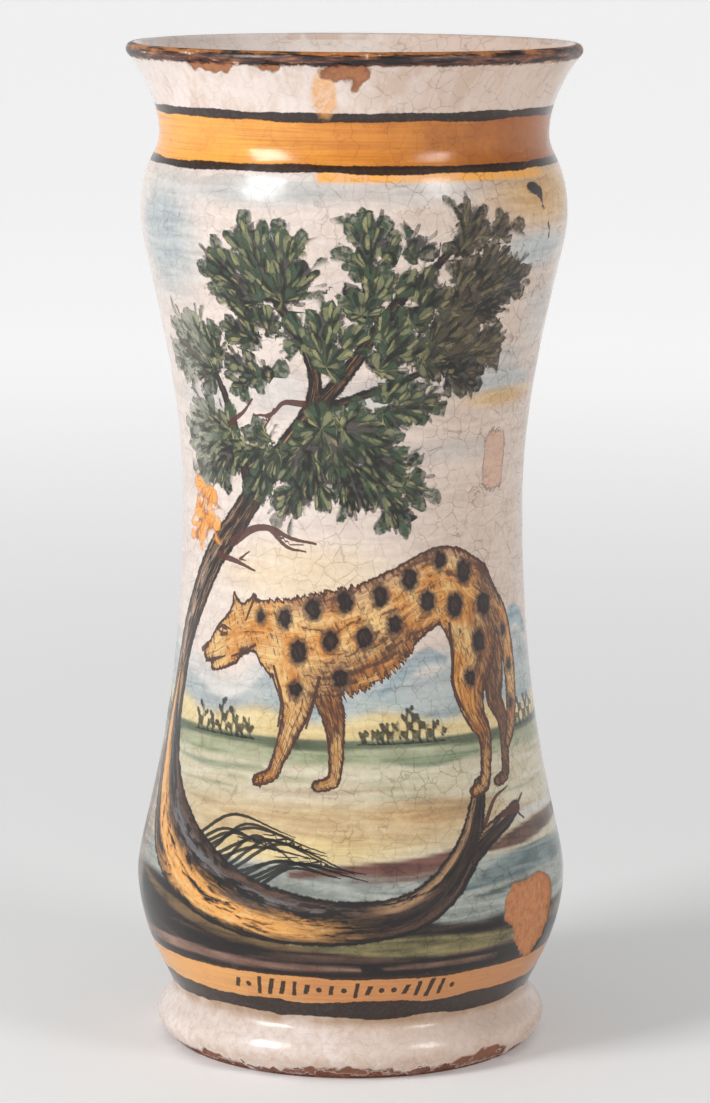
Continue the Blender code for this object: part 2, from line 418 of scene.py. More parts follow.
# The beast's far legs, then its body, near legs, neck, head, ears and tail
BEAST_FAR = [
    [(43, 110, 7.0), (45, 99, 4.7), (44.5, 92, 3.3), (47.3, 86, 2.3), (46.4, 77, 1.7), (45.2, 73, 1.6),
     (42, 72, 1.4)],
    [(-8, 99, 5.2), (-4.8, 90, 3.1), (-4.0, 83, 2.2), (-4.2, 76.5, 1.7), (-5.2, 74.6, 1.7),
     (-8.8, 73.6, 1.4)],
]
BEAST = [
    [(-20, 108, 9.0), (-9, 107.5, 12.5), (3, 110, 12.2), (15, 117, 9.6), (27, 121.5, 9.4), (36, 117, 10.4)],
    [(36, 116, 10.3), (38, 106, 8.6), (35.2, 97, 6.0), (36, 89.5, 3.8), (39.2, 83.5, 2.5), (38.4, 76, 1.9),
     (37, 72, 1.9), (33.4, 70.4, 1.5)],
    [(-16, 102, 7.4), (-15, 93, 4.3), (-17.3, 85, 2.7), (-19.8, 78.5, 1.9), (-21.2, 75.6, 1.8),
     (-25.2, 74, 1.5)],
    [(-18, 110, 7.6), (-26, 111.5, 6.0), (-33, 110, 5.6)],
    [(-34, 109.4, 5.8), (-39.5, 106.8, 4.5), (-43.8, 104.0, 3.0), (-46.6, 102.6, 2.1)],
    [(-37, 104, 3.6), (-41.5, 100.8, 2.0), (-43.8, 99.4, 1.1)],
    [(-31.0, 113.4, 2.0), (-29.4, 118.4, 0.5)],
    [(-35.4, 113.6, 1.9), (-36.6, 118.2, 0.5)],
    [(45, 116, 4.0), (50.5, 110, 3.7), (53.2, 101, 3.3), (53.0, 92, 2.8), (50.8, 84.5, 2.2), (48, 80, 1.2)],
]
TWIGS = [
    [(-37, 131, 1.3), (-30, 134.5, 0.95), (-24, 135, 0.75), (-18, 133, 0.55), (-11, 132, 0.3)],
    [(-24, 134.5, 0.6), (-19, 130.8, 0.45), (-14, 130, 0.25)],
    [(-43, 127, 1.0), (-36, 126, 0.6), (-30, 124.5, 0.3)],
    [(-36, 126, 0.5), (-32, 128.5, 0.25)],
    [(-14, 166, 0.9), (-19, 166, 0.65), (-23, 163, 0.5), (-28, 162.5, 0.25)],
    [(-22, 164, 0.5), (-25, 160, 0.25)],
    [(-37, 160, 0.7), (-32, 163, 0.5), (-29, 166, 0.25)],
    [(43, 64, 0.9), (47, 64.5, 0.6), (51, 67, 0.35)],
    [(36, 63, 0.7), (40, 68, 0.5), (45, 70, 0.25)],
    [(46, 65, 0.6), (50, 62, 0.3)],
]
# Blue-grey clouds: (u, v, half width, half height, strength)
CLOUDS = [
    (-54, 205, 13, 14, 0.9), (-22, 217, 22, 3.5, 0.6), (16, 217, 14, 3, 0.35), (52, 202, 14, 4.5, 0.8),
    (44, 170, 17, 3.5, 0.7), (10, 168, 12, 4, 0.5), (-48, 165, 12, 4, 0.4), (40, 176, 14, 2.5, 0.5),
    (-20, 168, 9, 6, 0.35), (60, 186, 9, 7, 0.4), (30, 154, 18, 2.5, 0.3), (100, 205, 25, 8, 0.6),
    (-100, 190, 28, 9, 0.6), (150, 180, 25, 8, 0.5), (-140, 210, 20, 6, 0.5),
]
# Bushes on the horizon: (u, stems, height)
BUSHES = [
    (-46, 3, 6.5), (-37, 5, 11.0), (-30, 4, 6.0), (4, 3, 5.0), (9, 4, 6.5), (16.5, 5, 10.5), (23, 3, 5.5),
    (56, 3, 7.0), (63, 5, 11.0), (-72, 4, 6.0),
]
# Spots on the beast's coat: (u, v, radius)
SPOTS = [
    (-27, 113.2, 1.4), (-19.5, 113.5, 2.0), (-11, 116, 2.3), (-2, 118, 2.3), (8, 119.5, 2.2),
    (16.5, 123.2, 2.3), (26, 127.5, 1.9), (34.5, 124, 2.5), (22, 117.5, 2.2), (31, 116, 2.6),
    (42, 115.5, 2.6), (-15, 105.5, 2.5), (-6, 108.5, 2.2), (3.5, 109.5, 2.4), (12, 112.5, 2.0),
    (39.5, 106.5, 2.3), (-15.5, 96.5, 1.9), (-3, 99.5, 2.0), (35.5, 98, 1.8), (51, 108, 1.2),
    (53, 99, 1.2), (52.4, 90, 1.1),
]
# A brown smudge in the sky, and its run
SMUDGE = [
    [(47.0, 217.0, 0.8), (49.2, 216.6, 1.5), (51.6, 215.6, 1.1)],
    [(51.2, 215.0, 0.8), (52.6, 211.6, 0.3)],
    [(55.0, 208.0, 0.35), (56.0, 204.5, 0.3)],
]
# The layers of the picture that have glazes of their own where they lie, from the back to the front
LAYERS = ("wood", "leaves", "beast")
BLADE_SETS = 5


def grass():
    """Blades of grass that bend over from the bough to the right, in sets whose blades keep apart."""
    rng = np.random.default_rng(5)
    sets = [[] for _ in range(BLADE_SETS)]
    for i in range(3 * BLADE_SETS):
        root_u, root_v = -42 + 1.45 * i, 58.5 - 0.66 * i
        reach, rise = rng.uniform(15, 31), rng.uniform(3.5, 7.5)
        top = (root_u + 0.42 * reach, root_v + rise, 0.40)
        tip = (root_u + reach, root_v + rise * rng.uniform(0.1, 0.75), 0.14)
        sets[i % BLADE_SETS].append([(root_u, root_v, 0.5), top, tip])
    return sets


def touch(middle, height, reach, lean, half, arch=0.0):
    """A short stroke that thins out at both ends."""
    left, right = (middle - reach, height - lean, 0.15), (middle + reach, height + lean, 0.15)
    return [left, (middle, height + arch, half), right]


def paint_washes(u, v):
    """The painting's broad areas: the two colours of their brush strokes, and the height they follow."""
    turn = u / PAINT_RADIUS
    light = np.empty((len(u), 3))
    dark = np.empty((len(u), 3))
    light[:] = linear("E3D5CC")
    dark[:] = linear("D8C7BD")

    def lay(mask, light_code, dark_code):
        for layer, code in ((light, light_code), (dark, dark_code)):
            layer += (np.array(linear(code)) - layer) * mask[:, None]

    def brush(points, light_code, dark_code, share=1.0, soft=0.5):
        lay((1 - soft_step(limb(u, v, points)["edge"], -soft, soft)) * share, light_code, dark_code)

    # Sky: warmer and duller to the right as painted shade, with blue-grey and yellow strokes
    lay(soft_step(u, -25, 45) * (1 - soft_step(np.abs(u), 90, 130)) * 0.75, "D3BDAC", "C3AB99")
    for cu, cv, ru, rv, share in CLOUDS:
        lay(blob(u, v, cu, cv, ru, rv) * share, "B9C0C0", "98A4A8")
    lay(blob(u, v, 56, 215, 20, 7) * 0.85, "D3AA6A", "B98748")
    lay(blob(u, v, 48, 166, 15, 2.2) * 0.75, "D9B272", "C49A5C")
    lay(blob(u, v, -14, 124, 24, 8) * 0.6, "EBD9B6", "E4C99B")
    # Far hills and the yellow light along the horizon
    hills = 101 + 4 * np.sin(2 * turn + 0.3) + 4 * np.sin(5 * turn + 2.6) + 1.5 * np.sin(11 * turn)
    lay(belt(v, 84, hills + 5, 1.5) * 0.5, "C6CCC9", "A9B4B6")
    lay(belt(v, 84, hills, 0.8) * 0.75, "B0B8B6", "8D9A9E")
    lay(belt(v, 84, hills - 8 + 2 * np.sin(7 * turn), 0.8) * 0.6, "BCC3BD", "8E9C9D")
    brush([(8, 96, 1.0), (20, 104, 2.0), (27, 103, 1.0)], "9FAEB2", "758991", 0.8)
    brush([(47, 104, 1.5), (58, 111, 2.5), (68, 106, 1.5)], "9DB0B6", "6F8A94", 0.9)
    lay(belt(v, 83.5, 90 + 1.5 * np.sin(9 * turn), 1.8) * 0.85, "E8D29A", "D9BA79")
    # Meadow: a green rim, a pale field with thin green strokes, and warm earth below
    lay(belt(v, 55, 84.3, 0.4), "D3CAB4", "C3B698")
    lay(belt(v, 78.5, 84.3, 1.5) * 0.8, "A9AD8C", "8A9272")
    lay(belt(v, 82.4 + 0.4 * np.sin(6 * turn), 84.6, 0.35) * 0.9, "56624A", "37442F")
    brush([(-56, 77, 0.4), (-40, 76.2, 0.9), (-24, 77.4, 0.3)], "8E9A7C", "66755C", 0.8)
    brush([(8, 80, 0.5), (20, 79.2, 1.6), (36, 80.2, 0.4)], "8C9776", "66745A", 0.85)
    brush([(-22, 80.8, 0.4), (-8, 80.2, 0.9), (4, 81, 0.3)], "96A07F", "71805F", 0.6)
    lay(blob(u, v, -4, 64, 46, 5.5) * 0.75, "D2B482", "B48F5C")
    lay(blob(u, v, 22, 67, 14, 3) * 0.6, "C59C66", "A47B4F")
    lay(blob(u, v, -14, 58, 26, 3.5) * 0.7, "E4CC90", "CDB077")
    brush([(-28, 72.2, 0.3), (-14, 71.8, 0.8), (2, 72.2, 0.3)], "A88B6B", "8A6B52", 0.5)
    rng = np.random.default_rng(9)
    for _ in range(34):
        middle, height, reach = rng.uniform(-58, 66), rng.uniform(57, 82), rng.uniform(4, 12)
        tones = ("98A07C", "6F7B5A") if height > rng.uniform(64, 76) else ("B4946A", "8A6C4C")
        lean, half = rng.uniform(-0.6, 0.6), rng.uniform(0.3, 0.8)
        brush(touch(middle, height, reach, lean, half), *tones, rng.uniform(0.2, 0.55), 0.4)
    # Bank and water, with the far bank running on to the right
    lay(belt(v, 36, 54.9, 0.6), "AAAEA5", "7B807A")
    brush([(-14, 52.5, 0.8), (2, 54, 1.4), (16, 54.5, 2.0), (30, 57, 1.4)], "7A544A", "4E3028", 1.0, 0.4)
    brush([(0, 51.6, 0.4), (14, 51.8, 0.9), (26, 53.4, 0.5)], "8C6656", "62443A", 0.7)
    brush([(36, 56.5, 0.8), (48, 58, 2.2), (66, 59.5, 2.0), (90, 58, 0.8)], "75513F", "4A2E24", 1.0, 0.4)
    brush([(40, 61.8, 0.5), (56, 63, 1.0), (76, 62.5, 0.5)], "D5D2CC", "B4B8B6", 0.8)
    brush([(27, 48, 0.8), (42, 51.5, 2.8), (60, 52, 3.0), (84, 50, 1.2)], "82928F", "4B5D5E", 0.9)
    brush([(30, 45.6, 0.3), (38, 46.4, 0.7), (48, 47.6, 0.3)], "4A5450", "2F3835", 0.9, 0.3)
    # Dark ground, an olive streak along it and a pinkish strip below
    to_back = 1 - soft_step(np.abs(u), 90, 140)
    rim = 41.5 + (5 * soft_step(-u, 12, 50) - 1.5 * soft_step(u, 8, 40)) * to_back + 0.8 * np.sin(9 * turn)
    lay(belt(v, 20, rim, 0.8), "231917", "0C0808")
    rng = np.random.default_rng(3)
    for _ in range(26):
        middle, low, reach = rng.uniform(-62, 52), rng.uniform(30, 41), rng.uniform(8, 17)
        dip = rng.uniform(-0.8, 0.8) - 0.10 * max(0, -middle - 20)
        stroke = touch(middle, low, reach, dip, rng.uniform(0.3, 0.7), 0.5)
        brush(stroke, "6E5244", "3E2D27", rng.uniform(0.3, 0.75), 0.3)
    brush([(-64, 46, 0.6), (-48, 41, 1.4), (-30, 36.5, 1.6), (-10, 35, 1.2)], "8A6E46", "4E3C26", 0.7)
    brush([(-14, 36, 1.0), (4, 35.2, 2.2), (22, 34.6, 2.6), (46, 34.2, 1.2)], "968A5E", "5C5537", 0.9)
    for middle, low, reach in ((80, 36.5, 32), (132, 33, 26), (-138, 37.5, 20), (-104, 33.5, 28)):
        streak = [(middle - reach, low - 1, 0.8), (middle, low, 2.0), (middle + reach, low - 0.5, 0.8)]
        brush(streak, "8C7B4E", "5C5236", 0.8)
    brush([(-70, 30, 1.2), (-50, 30.4, 1.3), (-26, 29.6, 1.0), (2, 29.3, 0.5)], "A98573", "6E4B41", 0.8, 0.35)
    brush([(8, 29.4, 0.3), (24, 29.8, 0.6), (38, 29.6, 0.3)], "A8836E", "7A5848", 0.6, 0.3)
    # Dry stems at the far left, flaring from the foot of the trunk, over a pale wash that is partly painted
    # light along the lit left edge
    lay(blob(u, v, -71, 60, 7, 18, 0.45) * 0.75, "B29E8C", "735D4E")
    for i in range(6):
        top = 88 - 3.5 * (i % 3)
        bend, root = (-69 - 1.1 * i, 0.5 * top + 25, 0.7), (-72 - 1.4 * i, 40 - 0.5 * i, 0.4)
        brush([(-67 - 0.9 * i, top, 0.2), bend, root], "6A5142", "33241D", 0.55 + 0.1 * (i % 3), 0.35)
    # Strokes run level in the sky and fall to the right over the ground
    fall = 5 * soft_step(-u, -10, 60) * (1 - soft_step(v, 48, 66))
    return light, dark, v - fall


def sprays():
    """The fans of leaves that make up the clumps: middle, size, base, tone and whether orange."""
    rng = np.random.default_rng(11)
    fans = []
    for clumps, orange in ((CLUMPS, 0.0), (AUTUMN_CLUMPS, 1.0), (SHRUBS, 0.0)):
        for cu, cv, ru, rv in clumps:
            count = max(3, round(ru * rv / 22))
            sweep = np.array([(cu - CROWN[0]) / CROWN[2], (cv - CROWN[1]) / CROWN[3]])
            sweep /= np.hypot(*sweep) + 0.2
            if clumps is SHRUBS:
                sweep = np.array([0.0, 0.8])
            fork = np.array([cu - 0.6 * ru * sweep[0], cv - 0.6 * rv * sweep[1]])
            for i in range(count + 1):
                turn = 2 * math.pi * i / count + rng.uniform(-0.4, 0.4)
                ring = 0.62 if i < count else 0.0
                middle = np.array([cu + ring * ru * math.cos(turn), cv + ring * rv * math.sin(turn)])
                size = rng.uniform(0.42, 0.62) * math.sqrt(ru * rv)
                base = 0.42 * fork + 0.58 * middle - 0.75 * size * sweep
                tone = 0.5 + 0.35 * (middle[1] - cv) / rv + rng.uniform(-0.3, 0.3)
                fans.append((*middle, size, *base, tone, orange))
    return fans


def paint_leaves(u, v):
    """Edge of the leaves, direction away from each fan's base, its tone and the orange spray."""
    edge = np.full(len(u), FAR)
    out_u, out_v, light, autumn = np.zeros((4, len(u)))
    for cu, cv, size, base_u, base_v, tone, orange in sprays():
        inside = np.hypot((u - cu) * 0.9, v - cv) - size
        wins = inside < edge
        edge = np.minimum(edge, inside)
        reach = np.hypot(u - base_u, v - base_v) + 0.3
        out_u = np.where(wins, (u - base_u) / reach, out_u)
        out_v = np.where(wins, (v - base_v) / reach, out_v)
        light = np.where(wins, tone, light)
        autumn = np.where(wins, orange, autumn)
    return edge, out_u, out_v, light, autumn


def paint_bushes(u, v):
    """Edge of the bushes on the horizon: small upright leaves on a few stems, over a low fringe."""
    rng = np.random.default_rng(7)
    low = 83.9
    fringe = ((-0.5, low - 0.2, 0.2), (0.0, low, 0.4), (0.5, low - 0.2, 0.2))
    strokes = []
    for middle, stems, size in BUSHES:
        strokes.append([(middle + share * size, height, half) for share, height, half in fringe])
        for i in range(stems):
            away = (i + rng.uniform(0.2, 0.8)) / stems - 0.5
            foot = middle + away * size
            high = low + size * (1 - 1.2 * abs(away)) * rng.uniform(0.5, 1.0)
            strokes.append([(foot, low, 0.25), (foot + 0.5 * away, high, 0.35)])
            for k in range(round((high - low) / 2.2)):
                start = low + 0.8 + 2.0 * k
                lean = rng.uniform(1.0, 1.7) * (-1) ** (k + i)
                strokes.append([(foot + 0.2 * lean, start, 0.3), (foot + lean, start + 1.6, 0.6)])
    return join([limb(u, v, points) for points in strokes])["edge"]


def thin_lines(u, v, strokes):
    """Lines of a thin brush: how far across, how far away and the half width of the nearest one."""
    fields = join([limb(u, v, points) for points in strokes])
    return fields["side"], fields["gap"], fields["half"]


# The drawing inside the beast's outline: haunch, shoulder, toes and face
BEAST_LINES = [
    [(29, 111, 0.5), (29.6, 103, 0.6), (29.4, 97, 0.5), (32, 91, 0.35)],
    [(-22, 101, 0.4), (-19.5, 94, 0.5), (-20, 88, 0.35)],
    [(-9, 99, 0.5), (-10.6, 93, 0.5), (-12, 88, 0.35)],
    [(-46.9, 100.4, 0.3), (-43.4, 101.3, 0.5), (-39.8, 102.4, 0.25)],
    [(-42.6, 108.8, 0.25), (-40.6, 109.9, 0.42), (-38.0, 109.3, 0.2)],
    [(-48.9, 103.3, 0.7), (-47.9, 103.9, 0.8)],
    [(-40.7, 107.7, 0.5), (-39.7, 107.9, 0.5)],
    [(-33.0, 104.6, 0.3), (-34.6, 101.8, 0.25)],
    [(-31.8, 112.6, 0.3), (-30.0, 116.4, 0.45)],
    [(-25.8, 73.4, 0.3), (-25.4, 74.8, 0.3)],
    [(-23.8, 73.0, 0.3), (-23.4, 74.4, 0.3)],
    [(32.8, 69.8, 0.3), (33.2, 71.2, 0.3)],
    [(-29, 106, 0.4), (-33, 104, 0.35), (-36, 103, 0.3)],
]


def spots_edge(u, v):
    edge = np.full(len(u), FAR)
    for cu, cv, radius in SPOTS:
        edge = np.minimum(edge, np.hypot(u - cu, (v - cv) * 0.9) - radius)
    return edge


# Where glaze has come away, each place as strokes: (u, v, half width)
FLAKES = [
    [(44.5, 41.5, 5.6), (52.5, 40.5, 7.2)],
    [(50.5, 38, 8.6), (52.0, 32, 5.6), (50.5, 28.5, 2.2)],
    [(-5.5, 245.2, 1.8), (1.0, 245.4, 2.2)],
    [(1.0, 244.8, 2.0), (0.0, 241.6, 0.8)],
    [(-39, 246.4, 1.0), (-33, 246.2, 1.6), (-28, 246.6, 0.8)],
    [(-21, 246.6, 0.7), (-17, 246.4, 1.1)],
    [(-49, 0, 2.0), (-40, 0, 3.4), (-30, 0, 1.6)],
    [(-20, 0, 1.4), (-8, 0, 3.4), (8, 0, 3.0), (14, 0, 1.4)],
    [(22, 0, 2.0), (31, 0.4, 3.4), (42, 0.8, 4.6), (47, 0, 2.0)],
    [(-78, 0, 1.6), (-68, 0, 3.0), (-60, 0, 1.6)],
    [(68, 0, 1.6), (82, 0, 2.8), (96, 0, 1.6)],
    [(110, 0, 1.8), (122, 0, 3.6), (132, 0, 1.8)],
]


def flakes_edge(u, v):
    """Signed distance to the ragged edge of the nearest flake."""
    edge = join([limb(u, v, points) for points in FLAKES], 0.8)["edge"]
    waves = 0.55 * np.sin(0.9 * u + 0.5 * v) * np.cos(0.8 * v - 0.3 * u)
    return edge + waves + 0.3 * np.sin(2.1 * u - 1.7 * v)


# The mesh's numbers

def numbers(items, key, kind, width=1):
    """One property of all the mesh's vertices, corners or faces, as a flat array."""
    values = np.empty(len(items) * width, kind)
    items.foreach_get(key, values)
    return values


def coordinates(mesh):
    return numbers(mesh.vertices, "co", np.float32, 3).reshape(-1, 3).astype(float)


def corners(mesh):
    """The vertex at each corner of the faces, and each face's first corner."""
    corner = numbers(mesh.loops, "vertex_index", np.int32)
    return corner, numbers(mesh.polygons, "loop_start", np.int32)


def store(mesh, name, *columns):
    """Keeps one number, or three as a vector, at each vertex."""
    kind = "FLOAT" if len(columns) == 1 else "FLOAT_VECTOR"
    attribute = mesh.attributes.new(name, kind, "POINT")
    values = np.stack(columns, 1).astype(np.float32).ravel()
    attribute.data.foreach_set("value" if kind == "FLOAT" else "vector", values)


def mesh_field(mesh, name):
    """The first number of a stored vector, at each vertex."""
    return numbers(mesh.attributes[name].data, "vector", np.float32, 3)[::3].astype(float)


def store_colour(mesh, name, rgb):
    attribute = mesh.attributes.new(name, "FLOAT_COLOR", "POINT")
    values = np.ones((len(rgb), 4), np.float32)
    values[:, :3] = rgb
    attribute.data.foreach_set("color", values.ravel())


# Materials: numbers that travel through the nodes

class Value:
    """A number at each point of the glaze, as a node's output. Arithmetic on it adds Math nodes."""

    def __init__(self, tree, socket):
        self.tree, self.socket = tree, socket

    def math(self, operation, *others):
        node = self.tree.nodes.new("ShaderNodeMath")
        node.operation = operation
        for slot, term in zip(node.inputs, (self, *others)):
            plug(self.tree, term, slot)
        return Value(self.tree, node.outputs[0])

    def __add__(self, other):
        return self.math("ADD", other)

    def __sub__(self, other):
        return self.math("SUBTRACT", other)

    def __mul__(self, other):
        return self.math("MULTIPLY", other)

    def __truediv__(self, other):
        return self.math("DIVIDE", other)

    def __abs__(self):
        return self.math("ABSOLUTE")

    def rise(self, start, end, low=0.0, high=1.0):
        """Smoothly from low at start to high at end, and level beyond them."""
        node = self.tree.nodes.new("ShaderNodeMapRange")
        node.interpolation_type = "SMOOTHSTEP"
        for slot, term in zip(node.inputs, (self, start, end, low, high)):
            plug(self.tree, term, slot)
        return Value(self.tree, node.outputs[0])


def plug(tree, term, slot):
    if isinstance(term, Value):
        tree.links.new(term.socket, slot)
    elif hasattr(term, "is_output"):
        tree.links.new(term, slot)
    elif slot.type == "RGBA" and len(term) == 3:
        slot.default_value = (*term, 1.0)
    else:
        slot.default_value = term


class Glaze:
    """A material in the making: its nodes, the place on the jar, and the mixing of pigments."""

    def __init__(self, name):
        self.material = bpy.data.materials.new(name)
        self.material.use_nodes = True
        self.tree = self.material.node_tree
        self.tree.nodes.clear()
        place = self.node("ShaderNodeTexCoord").outputs["Object"]
        scaled = self.node("ShaderNodeVectorMath", operation="SCALE")
        self.tree.links.new(place, scaled.inputs[0])
        scaled.inputs["Scale"].default_value = MM
        self.place = scaled.outputs[0]
        self.x, self.y, self.v = self.split(self.place)
        self.u = self.x.math("ARCTAN2", self.y * -1.0) * PAINT_RADIUS
        self.side = self.x / 45.0
        self.blotch = self.noise(self.place, 0.13, 3.0, 0.6)
        self.ragged = self.noise(self.place, 0.55, 4.0, 0.7)
        self.shake = self.noise(self.place, 0.85, 2.0)

    def node(self, kind, **settings):
        node = self.tree.nodes.new(kind)
        for name, value in settings.items():
            setattr(node, name, value)
        return node

    def split(self, vector):
        node = self.node("ShaderNodeSeparateXYZ")
        self.tree.links.new(vector, node.inputs[0])
        return [Value(self.tree, output) for output in node.outputs]

    def vector(self, x, y, z=0.0):
        node = self.node("ShaderNodeCombineXYZ")
        for slot, term in zip(node.inputs, (x, y, z)):
            plug(self.tree, term, slot)
        return node.outputs[0]

    def attribute(self, name, part="Fac"):
        node = self.node("ShaderNodeAttribute", attribute_name=name)
        if part == "Vector":
            return self.split(node.outputs["Vector"])
        if part == "Color":
            return node.outputs["Color"]
        return Value(self.tree, node.outputs[part])

    def noise(self, where, scale, detail=2.0, rough=0.5, warp=0.0, flat=False):
        node = self.node("ShaderNodeTexNoise", noise_dimensions="2D" if flat else "3D")
        self.tree.links.new(where, node.inputs["Vector"])
        settings = {"Scale": scale, "Detail": detail, "Roughness": rough, "Distortion": warp}
        for name, value in settings.items():
            node.inputs[name].default_value = value
        return Value(self.tree, node.outputs["Fac"])

    def cells(self, where, feature, spread=1.0, flat=False):
        node = self.node("ShaderNodeTexVoronoi", voronoi_dimensions="2D" if flat else "3D", feature=feature)
        self.tree.links.new(where, node.inputs["Vector"])
        node.inputs["Scale"].default_value = 1.0
        node.inputs["Randomness"].default_value = spread
        return node

    def mix(self, mask, below, above, blend="MIX"):
        node = self.node("ShaderNodeMix", data_type="RGBA", blend_type=blend)
        for slot, term in zip((node.inputs[0], node.inputs[6], node.inputs[7]), (mask, below, above)):
            plug(self.tree, term, slot)
        return node.outputs[2]

    def streaks(self, across, along_scale, across_scale, detail=3.0, warp=0.3):
        """Brush marks that run round the jar; across is the height they are laid along."""
        where = self.vector(self.x * along_scale, self.y * along_scale, across * across_scale)
        return self.noise(where, 1.0, detail, 0.6, warp)

    def finish(self, colour, roughness, relief):
        """Closes the material. relief is its height in millimetres."""
        shader = self.node("ShaderNodeBsdfPrincipled")
        plug(self.tree, colour, shader.inputs["Base Color"])
        plug(self.tree, roughness, shader.inputs["Roughness"])
        shader.inputs["IOR"].default_value = 1.5
        bump = self.node("ShaderNodeBump")
        bump.inputs["Distance"].default_value = 1 / MM
        plug(self.tree, relief, bump.inputs["Height"])
        self.tree.links.new(bump.outputs["Normal"], shader.inputs["Normal"])
        output = self.node("ShaderNodeOutputMaterial")
        self.tree.links.new(shader.outputs[0], output.inputs["Surface"])
        return self.material


def crackle(g, size, width):
    """Crazing of the glaze: the edges of uneven cells of this size, in millimetres."""
    node = g.node("ShaderNodeVectorMath", operation="MULTIPLY_ADD")
    g.tree.links.new(g.place, node.inputs[0])
    node.inputs[1].default_value = (1 / size,) * 3
    bend = (g.blotch - 0.5) * 0.7 + (g.shake - 0.5) * 0.25
    g.tree.links.new(g.vector(bend, bend * -1.0, bend), node.inputs[2])
    edge = g.cells(node.outputs[0], "DISTANCE_TO_EDGE").outputs["Distance"]
    return Value(g.tree, edge).rise(width / size, 0.0)


def glaze_ground(g, c, white):
    """The tin glaze under the painting: a little uneven, and darker and warmer towards the right as painted
    shade.
    """
    base = g.mix(g.blotch.rise(0.3, 0.8) * 0.5, white, c.tin_shade)
    base = g.mix(g.ragged.rise(0.40, 0.75) * 0.4, base, c.tin_shade)
    # Painted shade: the glaze turns darker and warmer towards the right, away from the light on the left
    warm = (g.side + (g.blotch - 0.5) * 1.4).rise(-0.5, 0.7)
    return g.mix(warm * 0.5, base, c.tin_warm)


def clay_and_crackle(g, colour, c, dirt=1.0):
    """What lies over any painting: crazing, specks and bare clay, with the finish and relief of each."""
    patchy = g.blotch.rise(0.35, 0.65, 0.15, 0.6) * g.side.rise(-0.6, 0.8, 0.6, 1.0)
    colour = g.mix(crackle(g, 3.9, 0.17) * patchy * dirt, colour, c.crackle, "MULTIPLY")
    speck = Value(g.tree, g.cells(g.place, "F1").outputs["Distance"])
    colour = g.mix(speck.rise(0.16, 0.06) * g.shake.rise(0.62, 0.7) * 0.55, colour, c.manganese)
    edge = g.attribute("flake") + (g.ragged - 0.5) * 1.7
    bare = edge.rise(0.12, -0.05)
    rim = abs(edge - 0.2).rise(0.3, 0.05)
    clay = g.mix(g.ragged.rise(0.38, 0.70) * 0.4, c.clay, c.old_clay)
    clay = g.mix(g.shake.rise(0.45, 0.7) * 0.15, clay, c.fur_light)
    # Painted shade: the clay darkens towards the flake's wall, inside the hollow
    clay = g.mix(edge.rise(-1.6, 0.0) * 0.35, clay, c.old_clay)
    clay = g.mix(g.v.rise(9.0, 4.0) * 0.75, clay, c.old_clay)
    clay = g.mix(g.v.rise(238.0, 244.0) * 0.35, clay, c.old_clay)
    colour = g.mix(rim * 0.45, colour, c.crackle)
    colour = g.mix(bare, colour, clay)
    waves = g.blotch * 0.06 + g.ragged * 0.012
    return colour, bare * 0.62, bare * (g.ragged * 0.15 - 0.25) + waves


def glossy(g, matt):
    """Roughness of old glaze: glossy, unevenly worn, and matt where clay shows."""
    return g.blotch.rise(0.3, 0.8, 0.13, 0.30) + matt


def painted_line(g, colour, c, height, width, wander, seed):
    """A line of manganese round the jar, drawn by hand: it wanders and swells."""
    where = g.vector(g.x * 0.02 + seed, g.y * 0.02)
    drift = (g.noise(where, 1.0, 3.0, 0.55) - 0.5) * wander
    swell = g.noise(g.vector(g.x * 0.07, g.y * 0.07, seed), 1.0, 2.0).rise(0.3, 0.7, 0.75, 1.2)
    off = abs(g.v - height - drift) + (g.shake - 0.5) * 0.5
    mask = off.rise(swell * width + 0.12, swell * width - 0.16)
    ink = g.mix(g.ragged.rise(0.5, 0.75) * 0.5, c.manganese, c.old_clay)
    return g.mix(mask * g.ragged.rise(0.3, 0.7, 0.94, 1.0), colour, ink)


def neck_line(g, colour, c):
    """The line that the picture and the neck share."""
    return painted_line(g, colour, c, NECK_LINE, 0.9, 2.4, 3.0)


def foot_line(g, colour, c):
    """The line that the picture and the foot share."""
    return painted_line(g, colour, c, FOOT_LINE, 0.7, 1.6, 9.0)


def ochre_band(g, colour, c, low, high, burnt, faded):
    """The ochre between two lines, laid unevenly with a loaded brush, and bright at the left and burnt at the
    right as painted light and shade.
    """
    inside = g.v.rise(low - 0.4, low + 0.4) * g.v.rise(high + 0.4, high - 0.4)
    hairs = g.streaks(g.v, 0.03, 1.7, 4.0, 0.2)
    # Painted light and shade: the band lightens to the left and darkens to the right, with uneven brushing
    # mixed in
    side = g.side * 0.45 + (g.blotch - 0.5) * 0.5
    band = g.mix(side.rise(-0.4, 0.05), c.bright_ochre, c.ochre)
    band = g.mix(side.rise(0.0, 0.4) * burnt, band, c.burnt_ochre)
    band = g.mix(hairs.rise(0.42, 0.7) * 0.4, band, c.burnt_ochre)
    thin = g.streaks(g.v, 0.05, 0.9, 2.0, 0.5).rise(0.6, 0.8) * 0.35
    band = g.mix(thin, band, c.bright_ochre)
    band = g.mix(faded, band, c.tin_warm)
    return g.mix(inside, colour, band)


